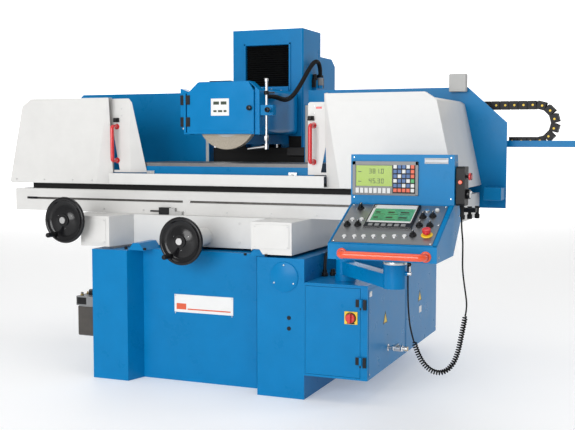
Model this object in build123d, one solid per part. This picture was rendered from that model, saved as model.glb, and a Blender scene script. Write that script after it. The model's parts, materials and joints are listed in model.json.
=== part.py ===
from build123d import *
import math
import os

# Surface grinder with a hydraulic table, modelled as separate parts. Millimetres.
# X runs along the table, Y is measured back from the front face of the base while a part
# is drawn, and Z is up from the floor. save() moves each part so that the origin is the
# centre of the base's footprint.

# ---- base ----
base_width = 1148.0
base_depth = 1500.0
base_height = 657.0
base_wall = 30.0
left_pillar = 203.0
right_pillar = 238.0
recess_depth = 106.0
recess_taper = 31.0
shadow_gap = 49.0
base_way_offset = 330.0
base_way_width = 90.0
base_way_height = 36.0
way_clearance = 0.5
anchor_hole = 11.0
anchor_inset = 70.0
anchor_flange = 30.0

# ---- saddle and table bed ----
saddle_gap = 13.0
saddle_height = 152.0
saddle_left = -648.0
saddle_right = 511.0
saddle_front = 185.0
box_left = 306.0
block_right = -481.0
block_front = 15.0
bed_length = 2456.0
bed_front = 250.0
bed_depth = 490.0
bed_height = 118.0
dog_slot_height = 12.0
dog_slot_depth = 14.0
bed_way_height = 32.0
bed_way_width = 80.0

# ---- table ----
table_length = 1020.0
table_width = 406.0
table_front = 300.0
table_height = 100.0
table_lift = 45.0
t_slot_width = 14.0
t_slot_pitch = 125.0
cylinder_radius = 25.0
piston_rod_radius = 12.0

# ---- splash enclosure ----
tray_half = 1120.0
tray_rim = 37.0
guard_half = 1225.0
guard_top_half = 1135.0
guard_front = 200.0
guard_height = 445.0
guard_inner = 595.0
guard_chamfer = 57.0
sheet = 3.0
apron_height = 54.0
door_y = 250.0
door_inner = 495.0
rear_guard_y = 800.0
rear_guard_bottom = 860.0
rear_guard_top = 1470.0
rear_opening = 285.0

# ---- column ----
column_width = 430.0
column_front = 900.0
column_depth = 284.0
column_top = 1815.0
column_wall = 25.0
slideway_width = 262.0
slideway_depth = 60.0
slideway_top = 1730.0
slideway_bottom = 900.0
rear_box_depth = 290.0
rear_box_top = 1685.0
lift_screw_radius = 18.0

# ---- wheel head ----
wheel_diameter = 335.0
wheel_width = 40.0
wheel_bore = 63.5
wheel_front = 372.0
spindle_z = 1322.5
spindle_radius = 32.0
guard_box_front = 365.0
guard_box_depth = 65.0
guard_side_gap = 22.5
coolant_radius = 7.0
motor_radius = 83.5
head_width = 370.0
head_top = 1470.0
head_bottom = 1229.0
head_back = 890.0
connector_top = 1556.0
running_fit = 0.05
button_fit = 0.3

# ---- right-hand cabinet, tank and control arm ----
cabinet_width = 306.0
cabinet_depth = 630.0
cabinet_bottom = 115.0
cabinet_height = 431.0
tank_depth = 660.0
tank_height = 525.0
door_gap = 1.5
hinge_inset = 34.0
arm_x = 148.0
arm_y = 150.0
arm_reach = (348.0, -380.0)
arm_base_z = 580.0
arm_height = 60.0
arm_hub_radius = 44.0
post_radius = 48.0
post_top = 700.0
clamp_z = 648.0
pin_radius = 20.0
panel_half = 226.0

# ---- handwheels ----
handwheel_radius = 117.0
handwheel_y = -60.0
table_wheel_x = -691.0
table_wheel_z = 803.0
cross_wheel_x = -33.0
cross_wheel_z = 722.0
shaft_radius = 16.0

# ---- levels and places that follow from the sizes above ----
half_base = base_width / 2
saddle_bottom = base_height + saddle_gap
saddle_top = saddle_bottom + saddle_height
bed_top = saddle_top + bed_height
bed_back = bed_front + bed_depth
tray_top = bed_top + tray_rim
guard_top = tray_top + guard_height
table_bottom = bed_top + table_lift
table_top = table_bottom + table_height
table_middle = table_front + table_width / 2
half_table = table_length / 2
cylinder_left = -tray_half + 36
cylinder_right = -60.0
half_column = column_width / 2
column_back = column_front + column_depth
cabinet_left = half_base
cabinet_right = half_base + cabinet_width
cabinet_top = cabinet_bottom + cabinet_height
pedestal = (cabinet_left + arm_x, arm_y)
post = (pedestal[0] + arm_reach[0], pedestal[1] + arm_reach[1])
wheel_radius = wheel_diameter / 2
guard_right = wheel_radius + guard_side_gap
guard_left = -wheel_radius - 92.5
guard_skirt_z = spindle_z - 91.5
guard_crown_z = spindle_z + wheel_radius + 11
lift_screw_y = column_front + slideway_depth + 90

UP = (0, 0, 1)
BACK = (0, 1, 0)
RIGHT = (1, 0, 0)


def save(name, *solids):
    """Write one node, moved so that the origin is the centre of the base's footprint."""
    parts = [s for shape in solids for s in shape.solids()]
    moved = [Location((0, -base_depth / 2, 0)) * s for s in parts]
    body = moved[0] if len(moved) == 1 else Compound(children=moved)
    body.label = name
    export_step(body, f"parts/{name}.step")


def slab(x0, x1, y0, y1, z0, z1):
    """A block between two corners."""
    return Pos((x0 + x1) / 2, (y0 + y1) / 2, (z0 + z1) / 2) * Box(x1 - x0, y1 - y0, z1 - z0)


def prism(points, direction, length):
    """A flat outline pushed along a direction."""
    outline = make_face(Polyline(*points, close=True))
    return extrude(outline, amount=length, dir=direction)


def front_plate(points, y0, thickness):
    """An outline in X and Z, pushed back from y0."""
    return prism([(x, y0, z) for x, z in points], BACK, thickness)


def side_plate(points, x0, thickness):
    """An outline in Y and Z, pushed right from x0."""
    return prism([(x0, y, z) for y, z in points], RIGHT, thickness)


def rod(radius, start, end):
    """A round bar between two points."""
    a = Vector(*start)
    b = Vector(*end)
    return extrude(Plane(origin=a, z_dir=b - a) * Circle(radius), amount=(b - a).length)


def soften(shape, axis, radius):
    """Round the edges of a block that run along an axis."""
    return fillet(shape.edges().filter_by(axis), radius)


def way_bar(x, z, width, height, y0, y1, grow=0.0):
    """A flat-topped V guide that runs along Y."""
    top = width * 0.2
    half = width / 2 + grow
    crown = z + height + grow
    outline = [(x - half, z), (x + half, z), (x + top + grow, crown), (x - top - grow, crown)]
    return front_plate(outline, y0, y1 - y0)


def bed_bar(y, z, width, height, x0, x1, grow=0.0):
    """A flat-topped V guide that runs along X."""
    top = width * 0.2
    half = width / 2 + grow
    crown = z + height + grow
    outline = [(y - half, z), (y + half, z), (y + top + grow, crown), (y - top - grow, crown)]
    return side_plate(outline, x0, x1 - x0)


# ---------------------------------------------------------------- base
def base_casting():
    """Box casting with two front pillars, a recessed middle and the cross guideways."""
    body = slab(-half_base, half_base, 0, base_depth, 0, base_height)
    left = -half_base + left_pillar
    right = half_base - right_pillar
    panel_right = right - shadow_gap
    depth = recess_depth
    outline = [
        (left, 0, 0), (left + recess_taper, depth, 0), (panel_right, depth, 0),
        (panel_right, depth + shadow_gap, 0), (right, depth + shadow_gap, 0), (right, 0, 0),
    ]
    body -= prism(outline, UP, base_height)
    inner_front = depth + shadow_gap + base_wall
    body -= slab(
        -half_base + base_wall, half_base - base_wall, inner_front, base_depth - base_wall,
        anchor_flange, base_height - base_wall,
    )
    for x in (-base_way_offset, base_way_offset):
        body += way_bar(x, base_height, base_way_width, base_way_height, 20, base_depth - 350)
    for x in (-half_base + anchor_inset, half_base - anchor_inset):
        body -= rod(anchor_hole, (x, anchor_inset, -1), (x, anchor_inset, base_height + 1))
        y = base_depth - anchor_inset
        body -= rod(anchor_hole, (x, y, -1), (x, y, anchor_flange + 1))
    return body


def lube_unit():
    """Way-oil pump on the left side: pump block, filler knob, outlet and reservoir."""
    x1 = -half_base
    pump = slab(x1 - 112, x1, 20, 140, 360, 408)
    pump += slab(x1 - 12, x1, 20, 140, 300, 440)
    knob = rod(16, (x1 - 56, 80, 408), (x1 - 56, 80, 436))
    outlet = rod(7, (x1 - 96, 50, 408), (x1 - 96, 50, 424))
    tank = soften(slab(x1 - 106, x1 - 14, 26, 134, 205, 360), Axis.Z, 12)
    return [pump + knob + outlet, tank]


def cross_nut():
    """Fixed nut of the cross-feed screw, on the top of the base."""
    y = saddle_front + 255
    nut = slab(cross_wheel_x - 38, cross_wheel_x + 38, y, y + 80, base_height, cross_wheel_z + 38)
    x = cross_wheel_x
    z = cross_wheel_z
    return nut - rod(shaft_radius + running_fit, (x, y - 1, z), (x, y + 81, z))


# ---------------------------------------------------------------- column
def column_casting():
    """Box column with a sunk vertical slideway on its front."""
    body = slab(-half_column, half_column, column_front, column_back, base_height, column_top)
    body = soften(body, Axis.Z, 12)
    half_slide = slideway_width / 2
    back = column_front + slideway_depth
    body -= slab(-half_slide, half_slide, column_front, back, slideway_bottom, slideway_top)
    back += column_wall
    body -= slab(-150, 150, back, column_back - column_wall, base_height + 30, column_top - column_wall)
    body -= slab(-60, 60, column_front, back + 5, slideway_bottom + 60, slideway_top - 60)
    return body


def column_rear_box():
    """Sheet housing behind the column."""
    half = half_column - 18
    points = [
        (column_back, base_height), (column_back + rear_box_depth, base_height),
        (column_back + rear_box_depth, rear_box_top - 40), (column_back + rear_box_depth - 60, rear_box_top),
        (column_back, rear_box_top),
    ]
    body = side_plate(points, -half, 2 * half)
    return body - slab(
        -half + sheet, half - sheet, column_back - 1, column_back + rear_box_depth - sheet,
        base_height + sheet, rear_box_top - 45,
    )


def lift_motor():
    """Geared motor at the foot of the lift screw, inside the column."""
    z0 = base_height + 30
    y = lift_screw_y
    return rod(58, (0, y, z0), (0, y, z0 + 220)) + rod(34, (0, y, z0 + 220), (0, y, z0 + 245))


def lift_screw():
    """Vertical screw that raises the wheel head."""
    y = lift_screw_y
    z0 = base_height + 30 + 245.3
    return rod(lift_screw_radius, (0, y, z0), (0, y, column_top - column_wall - 12))


# ---------------------------------------------------------------- saddle
def saddle_casting():
    """Cross slide with a front block, a box on the right and guideways below."""
    z0 = saddle_bottom
    outline = [
        (saddle_left, block_front, z0), (block_right, block_front, z0), (block_right + 41, saddle_front, z0),
        (box_left - 7, saddle_front, z0), (box_left - 7, bed_front + 60, z0), (box_left, bed_front + 60, z0),
        (box_left, 0, z0), (saddle_right, 0, z0), (saddle_right, bed_back, z0), (saddle_left, bed_back, z0),
    ]
    body = prism(outline, UP, saddle_height)
    x = cross_wheel_x
    z = cross_wheel_z
    body += rod(45, (x, 5, z), (x, saddle_front, z))
    body -= slab(x - 65, x + 65, saddle_front + 20, bed_back - 20, z0, saddle_top - 20)
    body -= rod(shaft_radius + running_fit, (x, 0, z), (x, saddle_front + 25, z))
    for offset in (-base_way_offset, base_way_offset):
        low = base_height
        body -= way_bar(offset, low, base_way_width, base_way_height, -10, bed_back + 10, way_clearance)
    return body


def table_bed():
    """Long bed on the saddle that carries the table's guideways and the dog slots."""
    half = bed_length / 2
    body = slab(-half, half, bed_front, bed_back, saddle_top, bed_top)
    slot_z = bed_top - 57
    for x0, x1 in ((-1135, -189), (-148, 1135)):
        body -= slab(x0, x1, bed_front, bed_front + dog_slot_depth, slot_z, slot_z + dog_slot_height)
    for y in (table_front + 80, table_front + table_width - 80):
        body += bed_bar(y, bed_top, bed_way_width, bed_way_height, -tray_half + 20, tray_half - 20)
    return body


def traverse_gearbox():
    """Housing of the table handwheel's pinion shaft, left of the saddle block."""
    x = table_wheel_x
    z = table_wheel_z
    body = slab(x - 70, saddle_left, block_front, bed_front - 0.5, z - 68, saddle_top - 0.5)
    return body - rod(shaft_radius + running_fit, (x, 0, z), (x, bed_front + 1, z))


def splash_tray():
    """Gutter rim around the table, with the flange that the guards stand on."""
    back = rear_guard_y - 2
    outer = slab(-tray_half, tray_half, bed_front + 12, back, bed_top, tray_top - sheet)
    outer -= slab(-tray_half + 4, tray_half - 4, bed_front + 16, back - 4, bed_top, tray_top)
    flange = slab(-guard_half + 6, guard_half - 6, guard_front + 6, back, tray_top - sheet, tray_top)
    flange -= slab(-tray_half + 30, tray_half - 30, table_front - 22, back - 30, tray_top - 10, tray_top + 10)
    return outer + flange


def guard_form(inset):
    """Outer form of the left guard, or the space inside it when inset is the sheet."""
    top = guard_top - inset
    low = tray_top - (1 if inset else 0)
    far = -guard_half + inset
    near = -guard_inner + (5 if inset else 0)
    points = [
        (far, low), (-guard_top_half + inset, guard_top - 38),
        (-guard_top_half + guard_chamfer + inset / 2, top), (near, top), (near, low),
    ]
    back = rear_guard_y + (1 if inset else 0)
    form = front_plate(points, guard_front + inset, back - guard_front - inset)
    a = Vector(-guard_inner - 80, guard_front + inset, tray_top)
    b = Vector(-guard_inner - 10, guard_front + inset, guard_top - 32)
    c = Vector(-guard_inner, guard_front + 42 + inset, tray_top)
    normal = (c - a).cross(b - a)
    if normal.Y > 0:
        normal = normal * -1
    return form - Plane(origin=a, x_dir=b - a, z_dir=normal) * Pos(0, 0, 400) * Box(1600, 1600, 800)


def left_guard():
    """White sheet guard round the left end of the table."""
    shell = guard_form(0) - guard_form(sheet)
    return shell - slab(
        -guard_half, -guard_inner + 10, guard_front + 40, rear_guard_y + 5, guard_top - 25, guard_top + 5,
    )


def front_apron():
    """Low sheet across the front, between the two guards."""
    top = tray_top + apron_height
    x = guard_inner - 0.5
    face = slab(-x, x, guard_front, guard_front + sheet, tray_top, top)
    lip = slab(-x, x, guard_front, guard_front + 26, top - sheet, top)
    return face + lip


def door_sheet(top, notch):
    """Left sliding door: face sheet with a slanted notch and a hemmed outer end."""
    low = tray_top + apron_height + 4
    outer = -guard_top_half + 95
    inner = -door_inner
    points = [(outer, low), (inner, low), (inner, top - 8), (inner - 8, top), (outer, top)]
    face = front_plate(points, door_y, 2.5)
    cut = [(-guard_inner - 3, low + notch), (-guard_inner - 3, low + 12), (-guard_inner + 34, low + 12)]
    return face - front_plate(cut, door_y - 1, 5)


def left_door():
    """Left door with the splayed edge sheet and its grab handle."""
    top = guard_top - 4
    low = tray_top + apron_height + 4
    face = door_sheet(top, 215)
    run = Vector(0.863, 0.505, 0)
    a = Vector(-door_inner, door_y, low)
    b = a + run * 84
    c = Vector(-door_inner, door_y, top - 20) + run * 10
    d = Vector(-door_inner, door_y, top - 8)
    splay = prism([tuple(corner) for corner in (a, b, c, d)], (run.Y, -run.X, 0), -2.5)
    return [face + splay, grab_handle(-guard_inner + 20)]


def right_door():
    """Right door, a flat sheet with the same grab handle."""
    face = mirror(door_sheet(guard_top - 38, 200), about=Plane.YZ)
    return [face, grab_handle(door_inner + 29)]


def grab_handle(x):
    """D-shaped grab handle that stands off a door sheet."""
    z0 = tray_top + 120
    z1 = z0 + 176
    reach = door_y - 48
    y = door_y - 0.1
    path = FilletPolyline((x, y, z0), (x, reach, z0), (x, reach, z1), (x, y, z1), radius=20)
    return sweep(Plane(origin=path @ 0, z_dir=path % 0) * Circle(9), path=path)


def rear_guard():
    """Blue sheet behind the table, open in the middle for the wheel head."""
    w = 1150
    e = 1350
    chamfer_z = rear_guard_top - 180
    o = rear_opening
    low = rear_guard_bottom
    mid = bed_top - 40
    points = [
        (-e, low), (e, low), (e, chamfer_z), (w, rear_guard_top), (o, rear_guard_top), (o, mid),
        (-o, mid), (-o, rear_guard_top), (-w, rear_guard_top), (-e, chamfer_z),
    ]
    body = front_plate(points, rear_guard_y, sheet)
    for x in (-o - sheet, o):
        body += slab(x, x + sheet, bed_back + 1, rear_guard_y, tray_top + 3, guard_top - 30)
    return body


def rear_curtain():
    """Rubber curtain that closes the lower part of the rear opening."""
    x = rear_opening - sheet - 2
    return slab(-x, x, rear_guard_y - 14, rear_guard_y - 4, tray_top + 1, tray_top + 185)


def chain_rail():
    """Shelf behind the rear guard that the energy chain rolls on."""
    z = 1167
    shelf = slab(1000, 1700, 905, 1000, z, z + 6)
    shelf += slab(1000, 1700, 905, 909, z, z + 33)
    shelf += slab(1000, 1700, 996, 1000, z, z + 33)
    shelf += slab(1060, 1100, rear_guard_y + sheet, 905, z, z + 33)
    shelf += slab(1260, 1300, rear_guard_y + sheet, 905, z, z + 33)
    return shelf


def energy_chain():
    """Cable chain in a U: links along the shelf, round the end and back above."""
    pitch = 46.0
    half = pitch / 2 - 0.5
    rise = 183.0
    z_low = 1173 + 24.5
    x_end = 1474.0
    length_low = 3
    links = []
    y0 = 925
    for i in range(length_low):
        x = x_end - (i + 0.5) * pitch
        links.append(slab(x - half, x + half, y0, y0 + 60, z_low - 22, z_low + 22))
    turns = round(math.pi * rise / 2 / pitch)
    for i in range(turns):
        a = (i + 0.5) / turns * 180 - 90
        link = Pos(0, y0 + 30, 0) * Box(pitch - 6, 60, 44)
        link = Pos(rise / 2, 0, 0) * (Rot(0, 90, 0) * link)
        links.append(Pos(x_end, 0, z_low + rise / 2) * (Rot(0, -a, 0) * link))
    for i in range(10):
        x = x_end - (i + 0.5) * pitch
        links.append(slab(x - half, x + half, y0, y0 + 60, z_low + rise - 22, z_low + rise + 22))
    return links


# ---------------------------------------------------------------- table and its drive
def table():
    """Work table with three T-slots, two guide shoes and a tunnel for the cylinder."""
    y1 = table_front + table_width
    body = slab(-half_table, half_table, table_front, y1, table_bottom, table_top)
    front = table_front + 80
    back = y1 - 80
    end = half_table + 1
    shoe = table_bottom - bed_top - 8
    neck = t_slot_width / 2
    for y in (front, back):
        body += slab(-half_table, half_table, y - 55, y + 55, table_bottom - shoe, table_bottom)
        body -= bed_bar(y, bed_top, bed_way_width, bed_way_height, -end, end, way_clearance)
    for i in (-1, 0, 1):
        y = table_middle + i * t_slot_pitch
        body -= slab(-half_table, half_table, y - neck, y + neck, table_top - 14, table_top)
        body -= slab(-half_table, half_table, y - 12, y + 12, table_top - 25, table_top - 13)
    tunnel = cylinder_radius + 15
    y0 = table_middle - tunnel
    body -= slab(-half_table, half_table, y0, y0 + 2 * tunnel, table_bottom - 1, table_bottom + 30)
    ear_x = half_table - 14
    body += slab(ear_x, half_table, table_middle - 30, table_middle + 30, bed_top + 8, table_bottom + 35)
    return body


def traverse_cylinder():
    """Hydraulic cylinder that drives the table, fixed on the bed."""
    z = bed_top + cylinder_radius + 3
    y = table_middle
    x0 = cylinder_left
    x1 = cylinder_right
    body = rod(cylinder_radius, (x0, y, z), (x1, y, z))
    body -= rod(cylinder_radius - 5, (x0 + 12, y, z), (x1 - 12, y, z))
    body -= rod(piston_rod_radius + running_fit, (x1 - 15, y, z), (x1 + 1, y, z))
    for x in (x0 + 30, x1 - 60):
        body += slab(x, x + 24, y - 20, y + 20, bed_top, z - cylinder_radius + 4)
    return body


def piston_rod():
    """Piston and rod; the rod's end is held by the ear under the table."""
    z = bed_top + cylinder_radius + 3
    y = table_middle
    x0 = (cylinder_left + cylinder_right) / 2
    x1 = half_table - 14.2
    rod_part = rod(piston_rod_radius, (x0, y, z), (x1, y, z))
    return rod_part + rod(cylinder_radius - 5.05, (x0 - 14, y, z), (x0 + 14, y, z))


# ---------------------------------------------------------------- handwheels
def handwheel(x, z):
    """Dished handwheel with a solid web, a round rim and a hub."""
    y = handwheel_y
    rim = Pos(x, y, z) * (Rot(90, 0, 0) * Torus(handwheel_radius - 10, 10))
    web = rod(handwheel_radius - 12, (x, y + 2, z), (x, y + 8, z))
    hub = rod(30, (x, y - 22, z), (x, y + 32, z))
    wheel = rim + web + hub
    wheel -= rod(shaft_radius, (x, y - 30, z), (x, y + 40, z))
    gx, gz = grip_place(x, z)
    return wheel + rod(10, (gx, y - 12, gz), (gx, y + 6, gz)) - rod(5.05, (gx, y - 13, gz), (gx, y + 9, gz))


def grip_place(x, z):
    """Centre of the crank grip, at the lower left of a wheel."""
    turn = math.radians(232)
    r = handwheel_radius - 24
    return x + r * math.cos(turn), z + r * math.sin(turn)


def grip(x, z):
    """Revolving crank grip on its pin."""
    gx, gz = grip_place(x, z)
    y = handwheel_y
    pin = rod(5, (gx, y + 6, gz), (gx, y - 14, gz))
    body = rod(12, (gx, y - 12.3, gz), (gx, y - 72, gz))
    body = fillet(body.edges().filter_by(GeomType.CIRCLE).sort_by(Axis.Y)[0], 8)
    return pin + body


def table_drive_shaft():
    """Shaft from the table handwheel with the pinion at its rear end."""
    x = table_wheel_x
    z = table_wheel_z
    return rod(shaft_radius, (x, handwheel_y - 24, z), (x, bed_front - 2, z))


def cross_screw():
    """Cross-feed screw, turned by the front handwheel."""
    x = cross_wheel_x
    z = cross_wheel_z
    return rod(shaft_radius, (x, handwheel_y - 24, z), (x, bed_back - 26, z))


# ---------------------------------------------------------------- wheel head
def head_casting():
    """Spindle carrier with the tongue that runs in the column's slideway."""
    half = head_width / 2
    front = guard_box_front + guard_box_depth
    body = slab(-half, half, front + 4, head_back, head_bottom, head_top)
    body = soften(body, Axis.Y, 34)
    body += rod(118, (0, front, spindle_z), (0, front + 10, spindle_z))
    half_tongue = slideway_width / 2 - 0.5
    tongue_back = column_front + slideway_depth - 0.5
    body += slab(-half_tongue, half_tongue, head_back, tongue_back, head_bottom - 49, head_top + 30)
    y = lift_screw_y
    body += slab(-45, 45, tongue_back, y + 34, spindle_z - 40, spindle_z + 40)
    body -= rod(lift_screw_radius + running_fit, (0, y, spindle_z - 41), (0, y, spindle_z + 41))
    body -= rod(spindle_radius + running_fit, (0, front - 1, spindle_z), (0, front + 202, spindle_z))
    body -= rod(motor_radius + 0.5, (0, front + 200, spindle_z), (0, head_back - 20, spindle_z))
    return body


def guard_outline():
    """Front view of the wheel guard's body."""
    left = guard_left
    right = guard_right
    return [
        (left, guard_skirt_z + 47), (left + 42, guard_skirt_z), (right, guard_skirt_z),
        (right, guard_crown_z - 49), (right - 58, guard_crown_z), (left + 108, guard_crown_z),
        (left + 52, guard_crown_z - 51), (left, guard_crown_z - 31),
    ]


def wheel_guard():
    """Guard body behind and around the grinding wheel, open at the front and below."""
    body = front_plate(guard_outline(), guard_box_front, guard_box_depth)
    left = guard_left
    right = guard_right
    hollow = [
        (left + 55, guard_skirt_z - 1), (right - 4, guard_skirt_z - 1), (right - 4, guard_crown_z - 51),
        (right - 60, guard_crown_z - 4), (left + 110, guard_crown_z - 4), (left + 55, guard_crown_z - 54),
    ]
    body -= front_plate(hollow, guard_box_front - 1, guard_box_depth - 7)
    body -= rod(118.5, (0, guard_box_front, spindle_z), (0, guard_box_front + guard_box_depth + 1, spindle_z))
    x = left + 32
    y = guard_box_front - 8
    lug = slab(x - 6, x + 6, guard_box_front - 16, guard_box_front, guard_skirt_z + 12, guard_crown_z - 60)
    return body + lug - rod(4.05, (x, y, guard_skirt_z - 10), (x, y, guard_crown_z - 40))


def guard_door():
    """Hinged front cover of the wheel guard."""
    y0 = guard_box_front - 15
    left = guard_left + 45
    right = guard_right - 27
    low = guard_skirt_z + 2
    outline = [
        (left, low), (right, low), (right, guard_crown_z - 49), (right - 32, guard_crown_z - 3),
        (left + 64, guard_crown_z - 3), (left + 10, guard_crown_z - 52), (left, guard_crown_z - 52),
    ]
    cavity = [
        (left + 13, low - 1), (right - 6, low - 1), (right - 6, guard_crown_z - 56),
        (right - 35, guard_crown_z - 9), (left + 67, guard_crown_z - 9), (left + 13, guard_crown_z - 58),
    ]
    body = front_plate(outline, y0, 14) - front_plate(cavity, y0 + 4, 12)
    pin_x = guard_left + 32
    pin_y = guard_box_front - 8
    for z in (low, guard_crown_z - 58):
        body += slab(pin_x - 5, left + 2, y0 - 2, y0 + 8, z, z + 8)
    body += rod(4, (pin_x, pin_y, low), (pin_x, pin_y, guard_crown_z - 50))
    x, z = guard_knob_place()
    return body - rod(5.05, (x, y0 - 1, z), (x, y0 + 5, z))


def guard_knob_place():
    """Centre of the twist knob, near the right edge of the guard's cover."""
    return guard_right - 48, spindle_z + 42


def guard_knob():
    """Round twist knob that locks the guard's cover."""
    y0 = guard_box_front - 15
    x, z = guard_knob_place()
    knob = rod(12, (x, y0 - 0.3, z), (x, y0 - 20, z))
    knob = fillet(knob.edges().filter_by(GeomType.CIRCLE).sort_by(Axis.Y)[0], 3)
    return knob + rod(5, (x, y0 - 0.3, z), (x, y0 + 10, z)) + rod(9, (x, y0 + 5, z), (x, y0 + 10, z))


def spindle():
    """Grinding spindle with a nose for the flange and a tail in the motor."""
    front = wheel_front - 5
    shaft = rod(spindle_radius - 12, (0, front, spindle_z), (0, 470, spindle_z))
    shaft += rod(spindle_radius, (0, 434, spindle_z), (0, 634, spindle_z))
    return shaft + rod(20, (0, 634, spindle_z), (0, head_back - 34, spindle_z))


def grinding_wheel():
    """Abrasive wheel, a plain disc with a large bore."""
    wheel = rod(wheel_radius, (0, wheel_front, spindle_z), (0, wheel_front + wheel_width, spindle_z))
    wheel -= rod(wheel_bore, (0, wheel_front - 1, spindle_z), (0, wheel_front + wheel_width + 1, spindle_z))
    return chamfer(wheel.edges().filter_by(GeomType.CIRCLE).group_by(SortBy.RADIUS)[-1], 1.0)


def wheel_flange():
    """Two-part flange that clamps the wheel on the spindle nose."""
    y0 = wheel_front
    y1 = wheel_front + wheel_width
    body = rod(wheel_bore - 0.3, (0, y0, spindle_z), (0, y1, spindle_z))
    body += rod(90, (0, y0 - 4, spindle_z), (0, y0 - 0.1, spindle_z))
    body += rod(90, (0, y1 + 0.1, spindle_z), (0, y1 + 8, spindle_z))
    body += rod(wheel_bore - 0.3, (0, y0 - 4, spindle_z), (0, y1 + 8, spindle_z))
    return body - rod(spindle_radius - 12, (0, y0 - 20, spindle_z), (0, y1 + 20, spindle_z))


def spindle_motor():
    """Stator of the spindle motor, inside the rear of the head."""
    y0 = guard_box_front + guard_box_depth + 215
    y1 = head_back - 30
    ring = rod(motor_radius, (0, y0, spindle_z), (0, y1, spindle_z))
    return ring - rod(24, (0, y0 - 1, spindle_z), (0, y1 + 1, spindle_z))


def coolant_clamp():
    """Block on the guard's side that holds the coolant pipe, with its screw knob."""
    x0 = guard_right
    z = spindle_z + 30
    pipe_x, pipe_y = coolant_place()
    block = soften(slab(x0, x0 + 72, pipe_y - 20, pipe_y + 22, z - 25, z + 26), Axis.Z, 5)
    block -= rod(coolant_radius + running_fit, (pipe_x, pipe_y, z - 28), (pipe_x, pipe_y, z + 28))
    knob = rod(5, (x0 + 58, pipe_y - 20, z), (x0 + 58, pipe_y - 36, z))
    knob += rod(13, (x0 + 58, pipe_y - 36, z), (x0 + 58, pipe_y - 52, z))
    return block + knob


def coolant_place():
    """Axis of the upright coolant pipe."""
    return guard_right + 27, guard_box_front + 23


def coolant_pipe():
    """Upright coolant pipe with a tapered nozzle at its foot."""
    x, y = coolant_place()
    low = spindle_z - wheel_radius + 15.5
    pipe = rod(coolant_radius, (x, y, low - 10), (x, y, spindle_z + wheel_radius + 22.5))
    pipe += rod(11, (x, y, low - 14), (x, y, low + 14))
    cone = Plane(origin=(x, y, low), z_dir=(-1, 0, -0.12)) * Pos(0, 0, 52) * Cone(9, 5, 104)
    return pipe + cone


def column_bellows():
    """Way cover between the head's tongue and the top of the column's slideway."""
    half = slideway_width / 2 - 2
    y0 = column_front + 6
    return slab(-half, half, y0, y0 + 26, head_top + 31, slideway_top - 1)


def conduit():
    """Cable conduit that loops from the head up to the connector on the column."""
    side = head_width / 2
    return [
        (side + 0.3, 470, head_top - 44), (side + 22, 470, head_top - 44), (side + 42, 492, head_top - 47),
        (side + 47, 536, head_top - 54), (side + 46, 600, head_top - 58), (side + 43, 672, head_top - 48),
        (side + 42, 746, head_top - 18), (side + 45, 816, head_top + 28), (side + 51, 880, head_top + 84),
        (side + 58, 940, head_top + 138), (side + 64, 996, head_top + 172), (side + 66, 1044, head_top + 170),
        (side + 63, 1078, head_top + 140), (side + 60, 1090, head_top + 108),
        (side + 60, 1090, connector_top + 0.3),
    ]


def conduit_connector():
    """Connector on the column's side that the conduit ends in."""
    x = half_column
    y = 1090
    body = slab(x, x + 22, y - 40, y + 46, connector_top - 76, connector_top - 10)
    return body + rod(15, (head_width / 2 + 60, y, connector_top - 60), (head_width / 2 + 60, y, connector_top))


# ---------------------------------------------------------------- cabinet and tank
def cabinet():
    """Electrical cabinet on the right side of the base, open behind its door."""
    x0 = cabinet_left
    x1 = cabinet_right
    body = slab(x0, x1, 0, cabinet_depth, cabinet_bottom, cabinet_top)
    body -= slab(x0 + sheet, x1 - sheet, 24, cabinet_depth - sheet, cabinet_bottom + sheet, cabinet_top - sheet)
    return body - slab(x0 + 4, x1 - hinge_inset, -1, 25, cabinet_bottom + 10, cabinet_top - 10)


def cabinet_door():
    """Pan-shaped door with two hinge blocks on its right edge."""
    x0 = cabinet_left + 4 + door_gap
    x1 = cabinet_right - hinge_inset - door_gap
    z0 = cabinet_bottom + 10 + door_gap
    z1 = cabinet_top - 10 - door_gap
    pan = slab(x0, x1, 0, 18, z0, z1) - slab(x0 + sheet, x1 - sheet, sheet, 19, z0 + sheet, z1 - sheet)
    for z in hinge_levels():
        pan += door_hinge_eye(z)
    sx, sz = switch_place()
    return pan - rod(5.05, (sx, -1, sz), (sx, 10, sz))


def switch_place():
    """Centre of the main switch on the cabinet door."""
    return cabinet_right - 79, cabinet_bottom + 285


def hinge_levels():
    """Heights of the two hinges of the cabinet door."""
    return cabinet_bottom + 60, cabinet_top - 107


def door_hinges():
    """Two hinge leaves on the cabinet's frame, each with a pin."""
    x = cabinet_right - hinge_inset + 4
    hinges = []
    for z in hinge_levels():
        leaf = slab(x + 9, x + 24, -9, 0, z, z + 50) + slab(x - 4, x + 10, -12, -4, z, z + 12)
        hinges.append(leaf + rod(4, (x, -8, z), (x, -8, z + 50)))
    return hinges


def door_hinge_eye(z):
    """An eye on the door that turns on a hinge pin."""
    x = cabinet_right - hinge_inset + 4
    eye = rod(7, (x, -8, z + 12.5), (x, -8, z + 49)) + slab(x - 22, x - 5.2, -11, 0, z + 12.5, z + 49)
    return eye - rod(4.05, (x, -8, z + 12), (x, -8, z + 50))


def main_switch():
    """Rotary main switch: red knob on a spindle through the door."""
    sx, sz = switch_place()
    knob = rod(21, (sx, -6, sz), (sx, -18, sz)) + slab(sx - 6, sx + 6, -32, -18, sz - 20, sz + 20)
    return knob + rod(5, (sx, -6, sz), (sx, 12, sz))


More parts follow.
